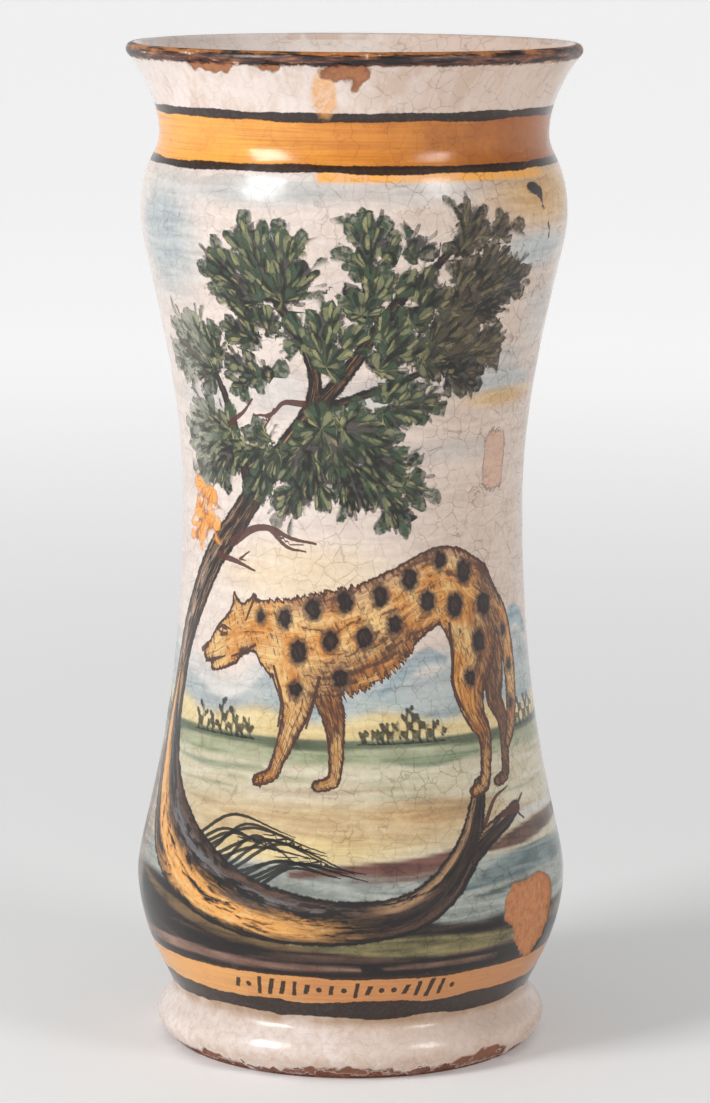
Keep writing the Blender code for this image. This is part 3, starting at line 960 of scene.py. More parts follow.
def dabs(g, below, leaves, cell, seed, shape, inset, dark, body, light, lights, strength):
    """One layer of leaf dabs: each cell holds one rounded dab that points away from its fan's base."""
    edge, out_u, out_v, tone = leaves
    where = g.vector(g.u / cell + seed, g.v / cell + seed * 0.37)
    node = g.cells(where, "F1", 0.8, True)
    off = g.node("ShaderNodeVectorMath", operation="SUBTRACT")
    g.tree.links.new(where, off.inputs[0])
    g.tree.links.new(node.outputs["Position"], off.inputs[1])
    off_u, off_v, _ = g.split(off.outputs[0])
    pick_a, pick_b, pick_c = g.split(node.outputs["Color"])
    along = off_u * out_u + off_v * out_v
    across = off_v * out_u - off_u * out_v
    across = across + (along * along) * (pick_b - 0.5) * 0.8
    oval = ((along / shape[0]).math("POWER", 2.0) + (across / shape[1]).math("POWER", 2.0)).math("SQRT")
    oval = oval + (g.noise(where, 3.0, 2.0, 0.6, 0.0, True) - 0.5) * 0.5
    within = (edge - along * cell + (pick_c - 0.5) * 1.6).rise(inset + 0.35, inset - 0.35)
    mask = oval.rise(1.0, 0.80) * within * strength
    shade = pick_a * 0.7 + tone * 0.5 + edge.rise(-5.5, -1.0) * 0.25 - 0.12
    leaf = g.mix(shade.rise(0.2, 0.8), dark, body)
    leaf = g.mix((oval * -1.0 + shade * 0.6).rise(-0.4, 0.05) * lights, leaf, light)
    leaf = g.mix(oval.rise(0.62, 0.92) * 0.7, leaf, dark)
    return g.mix(mask, below, leaf)


def leafage(g, colour, c):
    """The tree's leaves, in layers of dabs from deep shadow up to olive lights, and the orange spray."""
    edge, out_u, out_v = g.attribute("leaf", "Vector")
    tone, autumn, side_tint_and_light = g.attribute("leaf_look", "Vector")
    leaves = (edge, out_u, out_v, tone)
    # Browner leaves to the right and paler ones at the far left, partly painted shade and painted light
    brown, pale = side_tint_and_light.rise(0.0, 1.0, 0.0, 0.6), side_tint_and_light.rise(0.0, -1.0, 0.0, 0.6)

    def hue(green):
        return g.mix(autumn, g.mix(pale, g.mix(brown, green, c.bark), c.leaf_pale), c.autumn)

    core = edge.rise(-1.5, -6.0)
    dark = g.mix(autumn, g.mix(pale * 0.6, c.leaf_dark, c.leaf_mid), c.burnt_ochre)
    light = g.mix(autumn, hue(c.leaf_light), c.bright_ochre)
    mid, blue = hue(c.leaf_mid), hue(c.leaf_blue)
    shadow = (edge + (g.ragged - 0.5) * 6.0).rise(-0.7, -2.0)
    colour = g.mix(shadow * 0.9, colour, dark)
    wash = g.shake.rise(0.35, 0.6, 0.72, 1.0)
    # Each layer's cell and seed, dab, inset from the edge, two greens, share of lights and strength
    layers = (
        (5.6, 3.1, (0.64, 0.38), 0.8, blue, mid, 0.6, wash),
        (4.8, 11.7, (0.64, 0.33), 0.1, mid, blue, 0.8, wash),
        (4.3, 23.3, (0.66, 0.24), -0.8, blue, light, 0.55, core * -0.45 + wash),
        (3.9, 37.9, (0.68, 0.16), -1.2, mid, light, 0.85, core * -0.7 + wash),
        (4.2, 51.3, (0.68, 0.13), 0.0, dark, dark, 0.0, wash * 0.75),
    )
    for cell, seed, shape, inset, body, lit, lights, strength in layers:
        colour = dabs(g, colour, leaves, cell, seed, shape, inset, dark, body, lit, lights, strength)
    return colour


def bark(g, colour, c, name):
    """Trunk, branches or bough: dark wood with streaks of light along it."""
    edge, along, across = g.attribute(name, "Vector")
    edge = edge + (g.ragged - 0.5) * 1.6
    mask = edge.rise(0.25, -0.2)
    long_grain = g.noise(g.vector(along * 0.045, across * 2.2), 1.0, 4.0, 0.65, 0.7, True)
    fine_grain = g.noise(g.vector(along * 0.20, across * 6.0), 1.0, 3.0, 0.7, 0.5, True)
    grain = long_grain * 0.65 + fine_grain * 0.45
    wood = g.mix(grain.rise(0.46, 0.70), c.bark_dark, c.bark)
    if name == "bough":
        # Orange streaks run low along the root, grey-blue lies on its top, and a tan light at the far end
        root = g.u.rise(8.0, -22.0)
        low = abs(across + 0.35 + (long_grain - 0.5) * 1.2).rise(0.60, 0.15)
        wood = g.mix(low * root * grain.rise(0.42, 0.55), wood, c.bark_glow)
        wood = g.mix(low * root * grain.rise(0.57, 0.68) * 0.8, wood, c.fur_light)
        waver = (long_grain - 0.5) * 0.8
        top = abs(across - 0.5 + waver).rise(0.35, 0.05) * grain.rise(0.52, 0.64)
        wood = g.mix(top * root * 0.75, wood, c.bark_blue)
        end = abs(across - 0.6 + waver).rise(0.34, 0.06) * g.u.rise(2.0, 12.0)
        wood = g.mix(end * grain.rise(0.42, 0.58), wood, c.bark_light)
        wood = g.mix(g.u.rise(-6.0, 14.0) * abs(across + 0.1).rise(0.5, 0.2) * 0.6, wood, c.bark_dark)
        # Its underside sinks into the dark ground
        wood = g.mix(across.rise(-0.62, -0.95) * g.u.rise(-44.0, -30.0) * 0.85, wood, c.bark_dark)
    else:
        wood = g.mix(grain.rise(0.57, 0.72) * 0.75, wood, c.bark_light)
        # Pale streaks on the lower trunk: partly the bark's pale paint, partly painted highlight
        pale = abs(across - 0.3 + (long_grain - 0.5) * 0.8).rise(0.5, 0.1) * g.v.rise(134.0, 122.0)
        wood = g.mix(pale * fine_grain.rise(0.38, 0.60) * 0.7, wood, c.tin_warm)
        low = g.v.rise(112.0, 76.0) * abs(across + 0.1 + (long_grain - 0.5)).rise(0.6, 0.15)
        wood = g.mix(low * grain.rise(0.47, 0.60) * 0.85, wood, c.bark_glow)
    wood = g.mix(abs(edge + 0.3).rise(0.8, 0.1) * 0.9, wood, c.bark_dark)
    return g.mix(mask, colour, wood)


def hide(g, colour, c, name, far):
    """The beast's coat: ochre fur, hair strokes, a brown outline, and spots on the near side."""
    edge, along, across = g.attribute(name, "Vector")
    spots, shade, shag = g.attribute("beast_look", "Vector")
    tuft = g.noise(g.vector(g.u * 0.9 + g.v * 0.5, g.v * 0.25), 1.0, 2.0, 0.6, 0.0, True)
    edge = edge + (g.shake - 0.5) * 0.7 - (tuft - 0.45) * shag
    mask = edge.rise(0.15, -0.1)
    coat = g.mix(g.blotch.rise(0.4, 0.62), c.fur, c.fur_light)
    hairs = g.noise(g.vector(along * 0.16, across * 5.5), 1.0, 4.0, 0.7, 0.5, True)
    cross_hairs = g.noise(g.vector(g.u * 1.1 + g.v * 0.5, g.v * 0.30), 1.0, 3.0, 0.65, 0.3, True)
    saddle = across.rise(0.25, 0.9) * g.v.rise(104.0, 120.0) * g.blotch.rise(0.3, 0.6)
    coat = g.mix(saddle * 0.6, coat, c.tin_warm)
    coat = g.mix((hairs + shade * 0.3).rise(0.38, 0.66) * 0.5, coat, c.burnt_ochre)
    coat = g.mix(shade * 0.45, coat, c.bark)
    coat = g.mix((hairs + shade * 0.12).rise(0.56, 0.67) * 0.8, coat, c.fur_dark)
    coat = g.mix((cross_hairs + shade * 0.16).rise(0.57, 0.70) * 0.75, coat, c.fur_dark)
    coat = g.mix((hairs * -1.0 + shade * -0.1).rise(-0.44, -0.34) * 0.6, coat, c.fur_light)
    if far:
        coat = g.mix(0.22, coat, c.fur_dark)
    else:
        spot = spots + (g.shake - 0.5) * 1.6 + (g.ragged - 0.5) * 2.2 - 0.35
        coat = g.mix(spot.rise(0.9, 0.1) * 0.7, coat, c.bark)
        coat = g.mix(spot.rise(0.1, -0.8), coat, c.spot)
        coat = g.mix(spot.rise(-1.0, -1.8) * cross_hairs.rise(0.4, 0.6) * 0.35, coat, c.bark)
    coat = g.mix(abs(edge + 0.25).rise(cross_hairs.rise(0.3, 0.7, 0.3, 1.5), 0.2), coat, c.fur_dark)
    return g.mix(mask, colour, coat)


def fine_strokes(g, colour, name, ink):
    """Lines drawn with a thin brush."""
    side, gap, half = g.attribute(name, "Vector")
    near = (gap - half).rise(0.75, 0.5)
    mask = (abs(side + (g.shake - 0.5) * 0.35) - half).rise(0.06, -0.1) * near
    return g.mix(mask * 0.95, colour, ink)


def picture_glaze(c, layers):
    """The landscape under its crazing: washes and bushes, and what there is of wood, leaves and beast."""
    g = Glaze("_".join(["picture_glaze"] + layers))
    strokes = g.streaks(g.attribute("lay"), 0.05, 0.42, 4.0, 0.8)
    brush = (strokes * 0.75 + g.blotch * 0.3).rise(0.36, 0.68)
    colour = g.mix(brush, g.attribute("wash_light", "Color"), g.attribute("wash_dark", "Color"))
    mottle = g.ragged.rise(0.3, 0.75, 0.90, 1.05)
    colour = g.mix(1.0, colour, g.vector(mottle, mottle, mottle), "MULTIPLY")
    # Ochre that ran over below the neck's line
    spill = g.v.rise(218.8, 219.8) * g.u.rise(-9.5, -8.0) * g.u.rise(58.0, 50.0)
    colour = g.mix(spill * g.blotch.rise(0.3, 0.6, 0.6, 0.95), colour, c.bright_ochre)
    ring, smudge, _ = g.attribute("stains", "Vector")
    ring = ring + (g.ragged - 0.5) * 3.0
    colour = g.mix(ring.rise(0.2, -0.6) * 0.42, colour, c.clay)
    colour = g.mix(abs(ring + 0.1).rise(0.5, 0.1) * g.shake.rise(0.35, 0.55, 0.2, 0.6), colour, c.bark)
    colour = g.mix((smudge + (g.ragged - 0.5) * 2.4).rise(0.3, -0.3), colour, c.spot)
    bushes = g.attribute("bushes") + (g.ragged - 0.5) * 0.4
    green = g.mix(g.shake.rise(0.5, 0.65), c.leaf_dark, c.leaf_mid)
    colour = g.mix(bushes.rise(0.15, -0.15) * 0.9, colour, green)
    if "wood" in layers:
        for i in range(BLADE_SETS):
            colour = fine_strokes(g, colour, f"blades_{i}", c.leaf_dark)
        colour = bark(g, colour, c, "wood")
        colour = bark(g, colour, c, "bough")
    if "leaves" in layers:
        colour = leafage(g, colour, c)
    if "wood" in layers:
        colour = fine_strokes(g, colour, "twigs", c.twig)
    if "beast" in layers:
        colour = hide(g, colour, c, "beast_far", True)
        colour = hide(g, colour, c, "beast", False)
        colour = fine_strokes(g, colour, "beast_lines", c.fur_dark)
    colour = neck_line(g, colour, c)
    colour = foot_line(g, colour, c)
    colour, matt, relief = clay_and_crackle(g, colour, c, 0.9)
    return g.finish(colour, glossy(g, matt), relief)


def neck_glaze(c):
    """Lip, white neck and the ochre band between its black lines."""
    g = Glaze("neck_glaze")
    colour = glaze_ground(g, c, c.tin_white)
    drips = g.noise(g.vector(g.x * 0.14, g.y * 0.14, g.v * 0.03), 1.0, 3.0, 0.65)
    colour = g.mix(drips.rise(0.45, 0.68) * 0.55, colour, c.tin_warm)
    colour = ochre_band(g, colour, c, NECK_LINE, BAND_LINE - 0.3, 1.0, 0.0)
    colour = painted_line(g, colour, c, BAND_LINE, 1.1, 2.4, 5.0)
    colour = neck_line(g, colour, c)
    stain = g.attribute("stain") + (g.ragged - 0.5) * 2.4
    colour = g.mix(stain.rise(0.5, -0.6) * g.ragged.rise(0.3, 0.7, 0.35, 0.85), colour, c.bark_glow)
    colour, matt, relief = clay_and_crackle(g, colour, c, 0.6)
    # Brown is painted over the outer half of the lip, and rubbed back to ochre along its crest
    reach = (g.x * g.x + g.y * g.y).math("SQRT") + (g.shake - 0.5) * 0.9
    lip = (g.v + (g.ragged - 0.5) * 2.2).rise(246.3, 246.9) * reach.rise(54.0, 54.4)
    rub = g.noise(g.vector(g.x * 0.12, g.y * 0.12, g.v * 0.9), 1.0, 5.0, 0.7)
    brown = g.mix(rub.rise(0.42, 0.62), c.manganese, c.old_clay)
    brown = g.mix((rub + g.v.rise(248.4, 249.8) * 0.16).rise(0.56, 0.74) * 0.6, brown, c.ochre)
    brown = g.mix((rub + g.ragged).rise(1.20, 1.26) * 0.8, brown, c.tin_shade)
    colour = g.mix(lip, colour, brown)
    return g.finish(colour, glossy(g, matt) + lip * 0.15, relief)


def foot_glaze(c):
    """The lower ochre band with its row of strokes, the black band, and the white foot worn to clay."""
    g = Glaze("foot_glaze")
    colour = glaze_ground(g, c, c.tin_white)
    colour = g.mix(g.blotch.rise(0.35, 0.7) * g.v.rise(9.0, 3.0) * 0.7, colour, c.tin_warm)
    colour = g.mix(g.ragged.rise(0.42, 0.7) * 0.35, colour, c.tin_warm)
    colour = g.mix(g.v.rise(11.5, 15.0) * g.blotch.rise(0.2, 0.6, 0.35, 0.8), colour, c.bark_light)
    colour = ochre_band(g, colour, c, BLACK_BAND + 1.8, FOOT_LINE, 0.3, 0.25)
    colour = tally_strokes(g, colour, c)
    colour = painted_line(g, colour, c, BLACK_BAND, 2.3, 1.6, 14.0)
    colour = foot_line(g, colour, c)
    worn_to = g.blotch.rise(0.42, 0.60, 0.5, 3.0)
    wear = g.v + (g.ragged - 0.5) * 3.6 - worn_to
    worn = wear.rise(0.3, 0.0)
    colour, matt, relief = clay_and_crackle(g, colour, c, 0.3)
    colour = g.mix(wear.rise(1.3, 0.2) * 0.5, colour, c.inside_white)
    colour = g.mix(worn, colour, g.mix(g.ragged.rise(0.45, 0.7) * 0.5, c.old_clay, c.clay))
    return g.finish(colour, glossy(g, matt) + worn * 0.4, relief)


def tally_strokes(g, colour, c):
    """Where an inscription stood: a row of plain slanting strokes and dots, which spell nothing."""
    step, middle = 3.1, 23.5
    place = g.u / step
    index = place.math("FLOOR")
    node = g.node("ShaderNodeTexWhiteNoise", noise_dimensions="1D")
    g.tree.links.new(index.socket, node.inputs["W"])
    pick_a, pick_b, pick_c = g.split(node.outputs["Color"])
    across = (place - index - 0.5) * step
    up = g.v - middle
    tall = pick_a.rise(0.2, 0.8, 1.3, 2.5)
    slant = across - up * (pick_b * 0.35 + 0.1) + (g.shake - 0.5) * 0.6
    stroke = (abs(slant) - pick_b * 0.25).rise(0.58, 0.34) * abs(up).rise(tall + 0.15, tall - 0.2)
    dot = (across * across + up * up).math("SQRT").rise(0.85, 0.6)
    is_dot = pick_c.rise(0.78, 0.80)
    mark = stroke * (is_dot * -1.0 + 1.0) + dot * is_dot
    row = g.u.rise(-31.5, -30.5) * g.u.rise(27.5, 26.5)
    return g.mix(mark * row * 0.94, colour, c.manganese)


def inside_glaze(c):
    """The plain tin glaze inside, crazed, and darker towards the floor."""
    g = Glaze("inside_glaze")
    colour = glaze_ground(g, c, c.inside_white)
    # Darker towards the floor
    colour = g.mix(g.v.rise(120.0, 5.0) * 0.35, colour, c.tin_shade)
    colour, matt, relief = clay_and_crackle(g, colour, c, 0.7)
    return g.finish(colour, glossy(g, matt), relief)


def bare_clay(c):
    """The unglazed underside: thrown clay with the wire's rings and dirt."""
    g = Glaze("bare_clay")
    grit = g.noise(g.place, 1.2, 4.0, 0.75)
    rings = g.noise(g.vector((g.x * g.x + g.y * g.y).math("SQRT") * 0.8, 0.0), 1.0, 3.0, 0.6, 0.0, True)
    colour = g.mix(grit.rise(0.3, 0.7), c.clay, c.old_clay)
    colour = g.mix(rings.rise(0.45, 0.7) * 0.5, colour, c.old_clay)
    return g.finish(colour, grit.rise(0.2, 0.8, 0.65, 0.9), rings * 0.4 + grit * 0.2)


# Operators

def deselect_all():
    if bpy.context.object and bpy.context.object.mode != "OBJECT":
        bpy.ops.object.mode_set(mode="OBJECT")
    bpy.ops.object.select_all(action="DESELECT")


class ALBARELLO_OT_throw(bpy.types.Operator):
    """Turn the jar's section once round into one closed wall, finest where the picture is"""

    bl_idname = "albarello.throw"
    bl_label = "Throw jar"

    def execute(self, context):
        s = context.scene.jar_sizes
        points, zones = profile(s)
        deselect_all()
        bpy.ops.mesh.primitive_circle_add(vertices=len(points), radius=0.05)
        jar = context.object
        jar.name = jar.data.name = "painted_jar"
        section = np.zeros((len(points), 3))
        section[:, 0], section[:, 2] = points.T
        self.open_ring(jar)
        jar.data.vertices.foreach_set("co", section.ravel())
        jar.data.attributes.new("row", "INT", "POINT").data.foreach_set("value", np.arange(len(points)))
        bpy.ops.object.mode_set(mode="EDIT")
        bpy.ops.mesh.select_all(action="SELECT")
        bpy.ops.mesh.spin(steps=s.columns, angle=2 * math.pi, center=(0, 0, 0), axis=(0, 0, 1))
        bpy.ops.mesh.select_all(action="SELECT")
        bpy.ops.mesh.remove_doubles(threshold=0.00002)
        bpy.ops.mesh.normals_make_consistent(inside=False)
        bpy.ops.object.mode_set(mode="OBJECT")
        self.space_columns(s, jar.data, points)
        self.mark_zones(jar.data, zones)
        self.lay_out(s, jar.data, points, zones)
        bpy.ops.object.shade_smooth()
        return {"FINISHED"}

    def open_ring(self, jar):
        """Cuts the ring between its last and first vertex, so that it can lie along the section."""
        last = len(jar.data.vertices) - 1
        for edge in jar.data.edges:
            edge.select = set(edge.vertices) == {0, last}
        for vertex in jar.data.vertices:
            vertex.select = vertex.index in (0, last)
        bpy.ops.object.mode_set(mode="EDIT")
        bpy.ops.mesh.select_mode(type="EDGE")
        bpy.ops.mesh.delete(type="EDGE")
        bpy.ops.mesh.select_mode(type="VERT")
        bpy.ops.object.mode_set(mode="OBJECT")

    def space_columns(self, s, mesh, points):
        """Moves the even columns to where they are wanted, and strays a little from a true circle."""
        co = coordinates(mesh)
        row = numbers(mesh.attributes["row"].data, "value", np.int32)
        round_by = np.arctan2(co[:, 1], co[:, 0]) / (2 * math.pi) + 0.75
        column = np.round(round_by * s.columns).astype(int) % s.columns
        turn = column_angles(s.columns)[column]
        radius, height = points[row].T
        stray = np.cos(2 * turn + 0.6 + 4 * height) + 0.4 * np.cos(3 * turn + 30 * height)
        throwing = np.sin(height * 2 * math.pi / 0.0137 + turn)
        radius = radius - (radius > 0.02) * s.out_of_round * (0.5 + 0.3 * stray + 0.08 * throwing)
        co[:, 0], co[:, 1] = radius * np.sin(turn), -radius * np.cos(turn)
        mesh.vertices.foreach_set("co", co.astype(np.float32).ravel())
        store(mesh, "turn", turn)

    def mark_zones(self, mesh, zones):
        """Gives each face the slot of its zone, which is that of the first row of the section on it."""
        row = numbers(mesh.attributes["row"].data, "value", np.int32)
        corner, first = corners(mesh)
        for _ in range(UNDER + 1):
            mesh.materials.append(None)
        zone = zones[np.minimum.reduceat(row[corner], first)]
        mesh.polygons.foreach_set("material_index", zone.astype(np.int32))

    def lay_out(self, s, mesh, points, zones):
        """Unrolls the wall for baking: outside, with its seam at the back, then inside and underside."""
        # For each strip: its first and last zone, and its left and right edge on the map
        strips = {
            "outside": (NECK, FOOT, 0.002, 0.765),
            "inside": (INSIDE, INSIDE, 0.770, 0.955),
            "under": (UNDER, UNDER, 0.960, 0.998),
        }
        row = numbers(mesh.attributes["row"].data, "value", np.int32)
        turn = numbers(mesh.attributes["turn"].data, "value", np.float32)
        corner, first = corners(mesh)
        face = np.repeat(np.arange(len(first)), np.diff(np.append(first, len(corner))))
        round_by = turn[corner] / (2 * math.pi) + 0.5
        at_pole = np.isin(row[corner], (0, len(points) - 1))
        low = np.minimum.reduceat(np.where(at_pole, 9.0, round_by), first)[face]
        high = np.maximum.reduceat(np.where(at_pole, -9.0, round_by), first)[face]
        round_by = np.where((high - low > 0.5) & (round_by < 0.5), round_by + 1, round_by)
        high = np.maximum.reduceat(np.where(at_pole, -9.0, round_by), first)[face]
        low = np.minimum.reduceat(np.where(at_pole, 9.0, round_by), first)[face]
        round_by = np.where(at_pole, (low + high) / 2, round_by)
        columns = np.append(column_angles(s.columns) / (2 * math.pi) + 0.5, 1.0)
        stepwise = np.interp(round_by, columns, np.linspace(0, 1, s.columns + 1))
        run = np.concatenate([[0], np.cumsum(np.hypot(*np.diff(points, axis=0).T))])
        lowest = np.minimum.reduceat(row[corner], first)[face]
        place = np.zeros((len(corner), 2))
        for name, (top_zone, bottom_zone, left, right) in strips.items():
            rows = np.flatnonzero((zones >= top_zone) & (zones <= bottom_zone))
            start, end = run[rows[0]], run[min(rows[-1] + 1, len(run) - 1)]
            here = (zones[lowest] >= top_zone) & (zones[lowest] <= bottom_zone)
            across = stepwise if name == "outside" else round_by
            place[here, 0] = left + (right - left) * across[here]
            place[here, 1] = 0.002 + 0.996 * (run[row[corner[here]]] - start) / (end - start)
        layer = mesh.uv_layers.new(name="OFBake")
        layer.uv.foreach_set("vector", place.astype(np.float32).ravel())


class ALBARELLO_OT_paint(bpy.types.Operator):
    """Work out the painting on the wall: washes, wood, leaves, beast, fine strokes and flakes"""

    bl_idname = "albarello.paint"
    bl_label = "Paint jar"

    def execute(self, context):
        s = context.scene.jar_sizes
        mesh = bpy.data.objects["painted_jar"].data
        co = coordinates(mesh)
        turn = numbers(mesh.attributes["turn"].data, "value", np.float32)
        u, v = turn.astype(float) * PAINT_RADIUS, co[:, 2] * MM
        line = outside(s)
        out = np.hypot(co[:, 0], co[:, 1]) > np.interp(co[:, 2], line[:, 1], line[:, 0]) - 0.3 * s.wall
        # Only the outside is painted, so the inside is put far below every stroke
        v_paint = np.where(out, v, -60.0)
        light, dark, lay = paint_washes(u, v)
        store_colour(mesh, "wash_light", light)
        store_colour(mesh, "wash_dark", dark)
        store(mesh, "lay", lay)
        shapes = {
            "wood": (TREE, 1.2),
            "bough": (BOUGH, 1.0),
            "beast_far": (BEAST_FAR, 0.0),
            "beast": (BEAST, 2.2),
        }
        for name, (limbs, blend) in shapes.items():
            shape = join([limb(u, v_paint, points) for points in limbs], blend)
            store(mesh, name, shape["edge"], shape["along"], shape["across"])
            if name == "beast":
                self.shade_beast(mesh, u, v_paint, shape)
        edge, out_u, out_v, tone, autumn = paint_leaves(u, v_paint)
        store(mesh, "leaf", np.minimum(edge, FAR), out_u, out_v)
        # Leaves browner and darker towards the right and paler at the far left: partly their own tint, partly
        # painted shade and painted light across the jar
        side_tint_and_light = soft_step(u, 6, 34) * soft_step(v, 160, 172)
        side_tint_and_light -= soft_step(v, 110, 130) * (1 - soft_step(u, -54, -36))
        store(mesh, "leaf_look", tone, autumn, side_tint_and_light)
        store(mesh, "bushes", paint_bushes(u, v_paint))
        near_wood = np.minimum(mesh_field(mesh, "wood"), mesh_field(mesh, "bough"))
        blades = [(f"blades_{i}", lines) for i, lines in enumerate(grass())]
        for name, lines in blades + [("twigs", TWIGS)]:
            side, gap, half = thin_lines(u, v_paint, lines)
            store(mesh, name, side, gap, half)
            near_wood = np.minimum(near_wood, gap - half)
        near_beast = np.minimum(mesh_field(mesh, "beast"), mesh_field(mesh, "beast_far"))
        self.mark_layers(mesh, wood=near_wood < 1.6, leaves=edge < 4.8, beast=near_beast < 3.2)
        store(mesh, "beast_lines", *thin_lines(u, v_paint, BEAST_LINES))
        ring = (((u - 46.5) / 4.9) ** 4 + ((v_paint - 150.5) / 7.4) ** 4) ** 0.25
        smudge = join([limb(u, v_paint, points) for points in SMUDGE])["edge"]
        store(mesh, "stains", (ring - 1) * 5.2, smudge, smudge)
        store(mesh, "stain", np.hypot((u + 7.0) / 3.0, (v_paint - 240.0) / 6.0) * 3 - 3)
        flakes = np.where(out | (co[:, 2] < 0.0001), flakes_edge(u, v), FAR)
        store(mesh, "flake", flakes)
        depth = s.flake_depth * (1 - soft_step(flakes, -0.7, 0.2)) * (co[:, 2] > 0.0001) * out
        reach = np.hypot(co[:, 0], co[:, 1])
        share = (reach - depth) / np.maximum(reach, 1e-6)
        co[:, 0] *= share
        co[:, 1] *= share
        mesh.vertices.foreach_set("co", co.astype(np.float32).ravel())
        return {"FINISHED"}

    def mark_layers(self, mesh, **near):
        """Keeps, at each face, which layers of the picture reach any of its corners, as bits."""
        corner, first = corners(mesh)
        here = np.zeros(len(first), np.int32)
        for name, mask in near.items():
            here += np.maximum.reduceat(mask[corner].astype(np.int32), first) << LAYERS.index(name)
        mesh.attributes.new("layers", "INT", "FACE").data.foreach_set("value", here)

    def shade_beast(self, mesh, u, v, shape):
        """Shadow under the belly and along the back, and how shaggy the outline is."""
        shadows = ((2, 97, 15, 8), (18, 108, 12, 4), (44, 104, 7, 24))
        belly = sum(blob(u, v, *shadow, 0.5) for shadow in shadows)
        back = soft_step(shape["across"], 0.5, 1.0) * 0.6
        legs = (1 - soft_step(v, 80, 98)) * (0.2 + 0.7 * np.abs(shape["across"]))
        shade = np.clip(belly * 0.75 + back + legs, 0, 1)
        shag = 0.7 + 4.2 * blob(u, v, 4, 99, 24, 9, 0.4) + 2.4 * blob(u, v, -12, 121, 16, 5, 0.4)
        store(mesh, "beast_look", spots_edge(u, v), shade, shag)


class ALBARELLO_OT_glaze(bpy.types.Operator):
    """Give each zone of the jar its glaze or bare clay, and stand the jar in for its solid"""

    bl_idname = "albarello.glaze"
    bl_label = "Glaze jar"

    def execute(self, context):
        c = context.scene.jar_colours
        jar = bpy.data.objects["painted_jar"]
        glazes = {INSIDE: inside_glaze, NECK: neck_glaze, FOOT: foot_glaze, UNDER: bare_clay}
        for zone, glaze in glazes.items():
            jar.data.materials[zone] = glaze(c)
        self.glaze_picture(jar.data, c)
        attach(jar, "root")
        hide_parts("jar")
        return {"FINISHED"}

    def glaze_picture(self, mesh, c):
        """One glaze for each set of layers that meets on a face, so none works out what isn't there."""
        slots = numbers(mesh.polygons, "material_index", np.int32)
        here = numbers(mesh.attributes["layers"].data, "value", np.int32)
        in_picture = slots == PICTURE
        mesh.materials[PICTURE] = picture_glaze(c, [])
        for bits in sorted(set(here[in_picture].tolist()) - {0}):
            layers = [name for i, name in enumerate(LAYERS) if bits >> i & 1]
            mesh.materials.append(picture_glaze(c, layers))
            slots[in_picture & (here == bits)] = len(mesh.materials) - 1
        mesh.polygons.foreach_set("material_index", slots)


def floor_paper():
    """Plain pale paper that glows a little far from the jar, so that it runs into the studio's light."""
    material = bpy.data.materials.new("floor_paper")
    material.use_nodes = True
    tree = material.node_tree
    shader = tree.nodes["Principled BSDF"]
    shader.inputs["Base Color"].default_value = (0.9, 0.9, 0.9, 1)
    shader.inputs["Roughness"].default_value = 0.7
    shader.inputs["Emission Color"].default_value = (1, 1, 1, 1)
    away = tree.nodes.new("ShaderNodeVectorMath")
    away.operation = "LENGTH"
    tree.links.new(tree.nodes.new("ShaderNodeTexCoord").outputs["Object"], away.inputs[0])
    glow = Value(tree, away.outputs["Value"]).rise(0.05, 1.6, 0.08, 0.5)
    plug(tree, glow, shader.inputs["Emission Strength"])
    return material


def studio_world():
    """White light all round, brightest at the horizon."""
    world = bpy.data.worlds.new("studio")
    world.use_nodes = True
    tree = world.node_tree
    split = tree.nodes.new("ShaderNodeSeparateXYZ")
    tree.links.new(tree.nodes.new("ShaderNodeTexCoord").outputs["Generated"], split.inputs[0])
    glow = Value(tree, split.outputs["Z"]).rise(0.05, 0.5, 0.9, 0.34)
    background = tree.nodes["Background"]
    background.inputs["Color"].default_value = (1, 1, 1, 1)
    plug(tree, glow, background.inputs["Strength"])
    return world


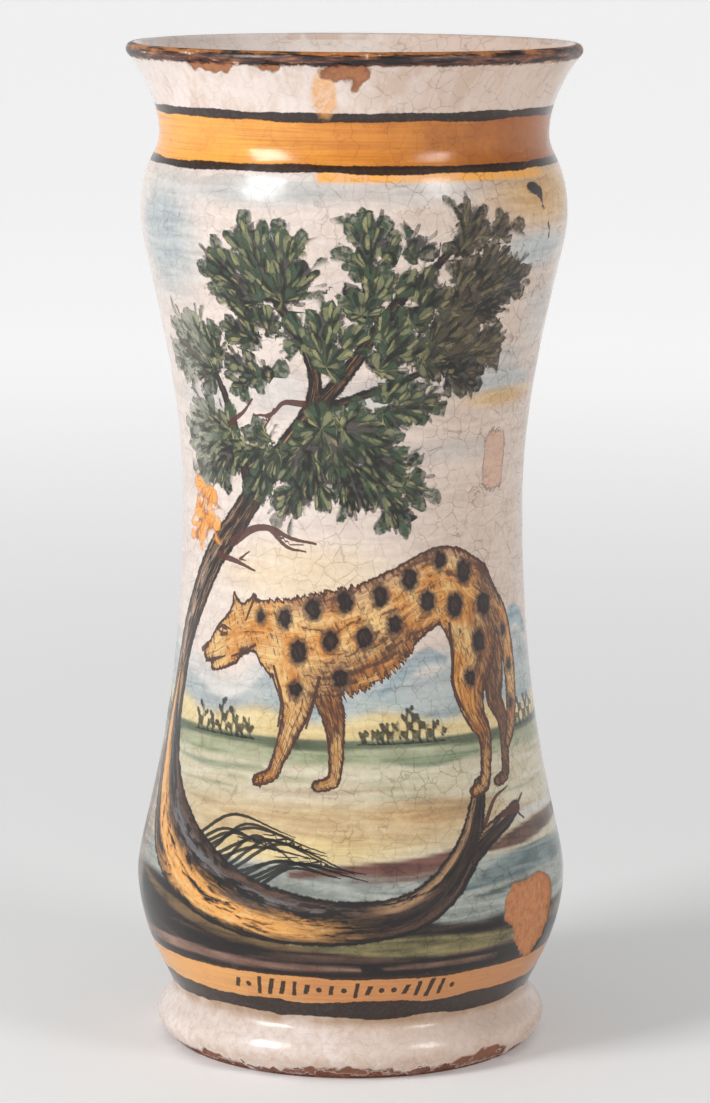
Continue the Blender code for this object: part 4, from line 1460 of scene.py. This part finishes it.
class ALBARELLO_OT_stage(bpy.types.Operator):
    """Lay a pale floor, hang soft lights and set the camera as the photograph has it"""

    bl_idname = "albarello.stage"
    bl_label = "Set stage"

    def execute(self, context):
        s = context.scene.jar_stage
        deselect_all()
        bpy.ops.mesh.primitive_plane_add(size=s.floor_size)
        floor = context.object
        floor.name = "floor"
        floor.data.materials.append(floor_paper())
        self.light("left_window", s.left_window, (s.left_width, s.left_height), s.left_power)
        self.light("right_window", s.right_window, (s.right_width, s.right_height), s.right_power)
        context.scene.world = studio_world()
        self.camera(context, s)
        context.scene.view_settings.view_transform = "Standard"
        return {"FINISHED"}

    def light(self, name, where, size, power):
        """Hangs one window, turned to the middle of the jar."""
        bpy.ops.object.light_add(type="AREA", location=where)
        lamp = bpy.context.object
        lamp.name = name
        lamp.data.shape = "RECTANGLE"
        lamp.data.size, lamp.data.size_y = size
        lamp.data.energy = power
        middle = (CAD_BOX[0] + CAD_BOX[1]) / 2
        lamp.rotation_euler = (middle - lamp.location).to_track_quat("-Z", "Y").to_euler()

    def camera(self, context, s):
        bpy.ops.object.camera_add(location=s.camera_place)
        camera = context.object
        up, roll = math.pi / 2 - s.camera_pitch, s.camera_roll
        camera.rotation_euler = (Matrix.Rotation(up, 3, "X") @ Matrix.Rotation(roll, 3, "Z")).to_euler()
        camera.data.lens = s.lens
        camera.data.sensor_width = s.film
        camera.data.clip_start = 0.05
        context.scene.camera = camera


class ALBARELLO_PT_panel(bpy.types.Panel):
    """The steps of making the jar"""

    bl_idname = "ALBARELLO_PT_panel"
    bl_label = "Albarello"
    bl_space_type = "VIEW_3D"
    bl_region_type = "UI"
    bl_category = "Albarello"

    def draw(self, context):
        for step in STEPS:
            self.layout.operator(step.bl_idname)
        scene = context.scene
        for settings in (scene.jar_sizes, scene.jar_colours, scene.jar_stage):
            box = self.layout.box()
            for name in settings.__annotations__:
                box.prop(settings, name)


STEPS = (ALBARELLO_OT_throw, ALBARELLO_OT_paint, ALBARELLO_OT_glaze, ALBARELLO_OT_stage)
CLASSES = (JarSizes, JarColours, StageSettings, *STEPS, ALBARELLO_PT_panel)


def register():
    for cls in CLASSES:
        bpy.utils.register_class(cls)
    bpy.types.Scene.jar_sizes = PointerProperty(type=JarSizes)
    bpy.types.Scene.jar_colours = PointerProperty(type=JarColours)
    bpy.types.Scene.jar_stage = PointerProperty(type=StageSettings)


def unregister():
    del bpy.types.Scene.jar_stage
    del bpy.types.Scene.jar_colours
    del bpy.types.Scene.jar_sizes
    for cls in reversed(CLASSES):
        bpy.utils.unregister_class(cls)


def main():
    register()
    bpy.ops.albarello.throw()
    bpy.ops.albarello.paint()
    bpy.ops.albarello.glaze()
    bpy.ops.albarello.stage()


if __name__ == "__main__":
    main()
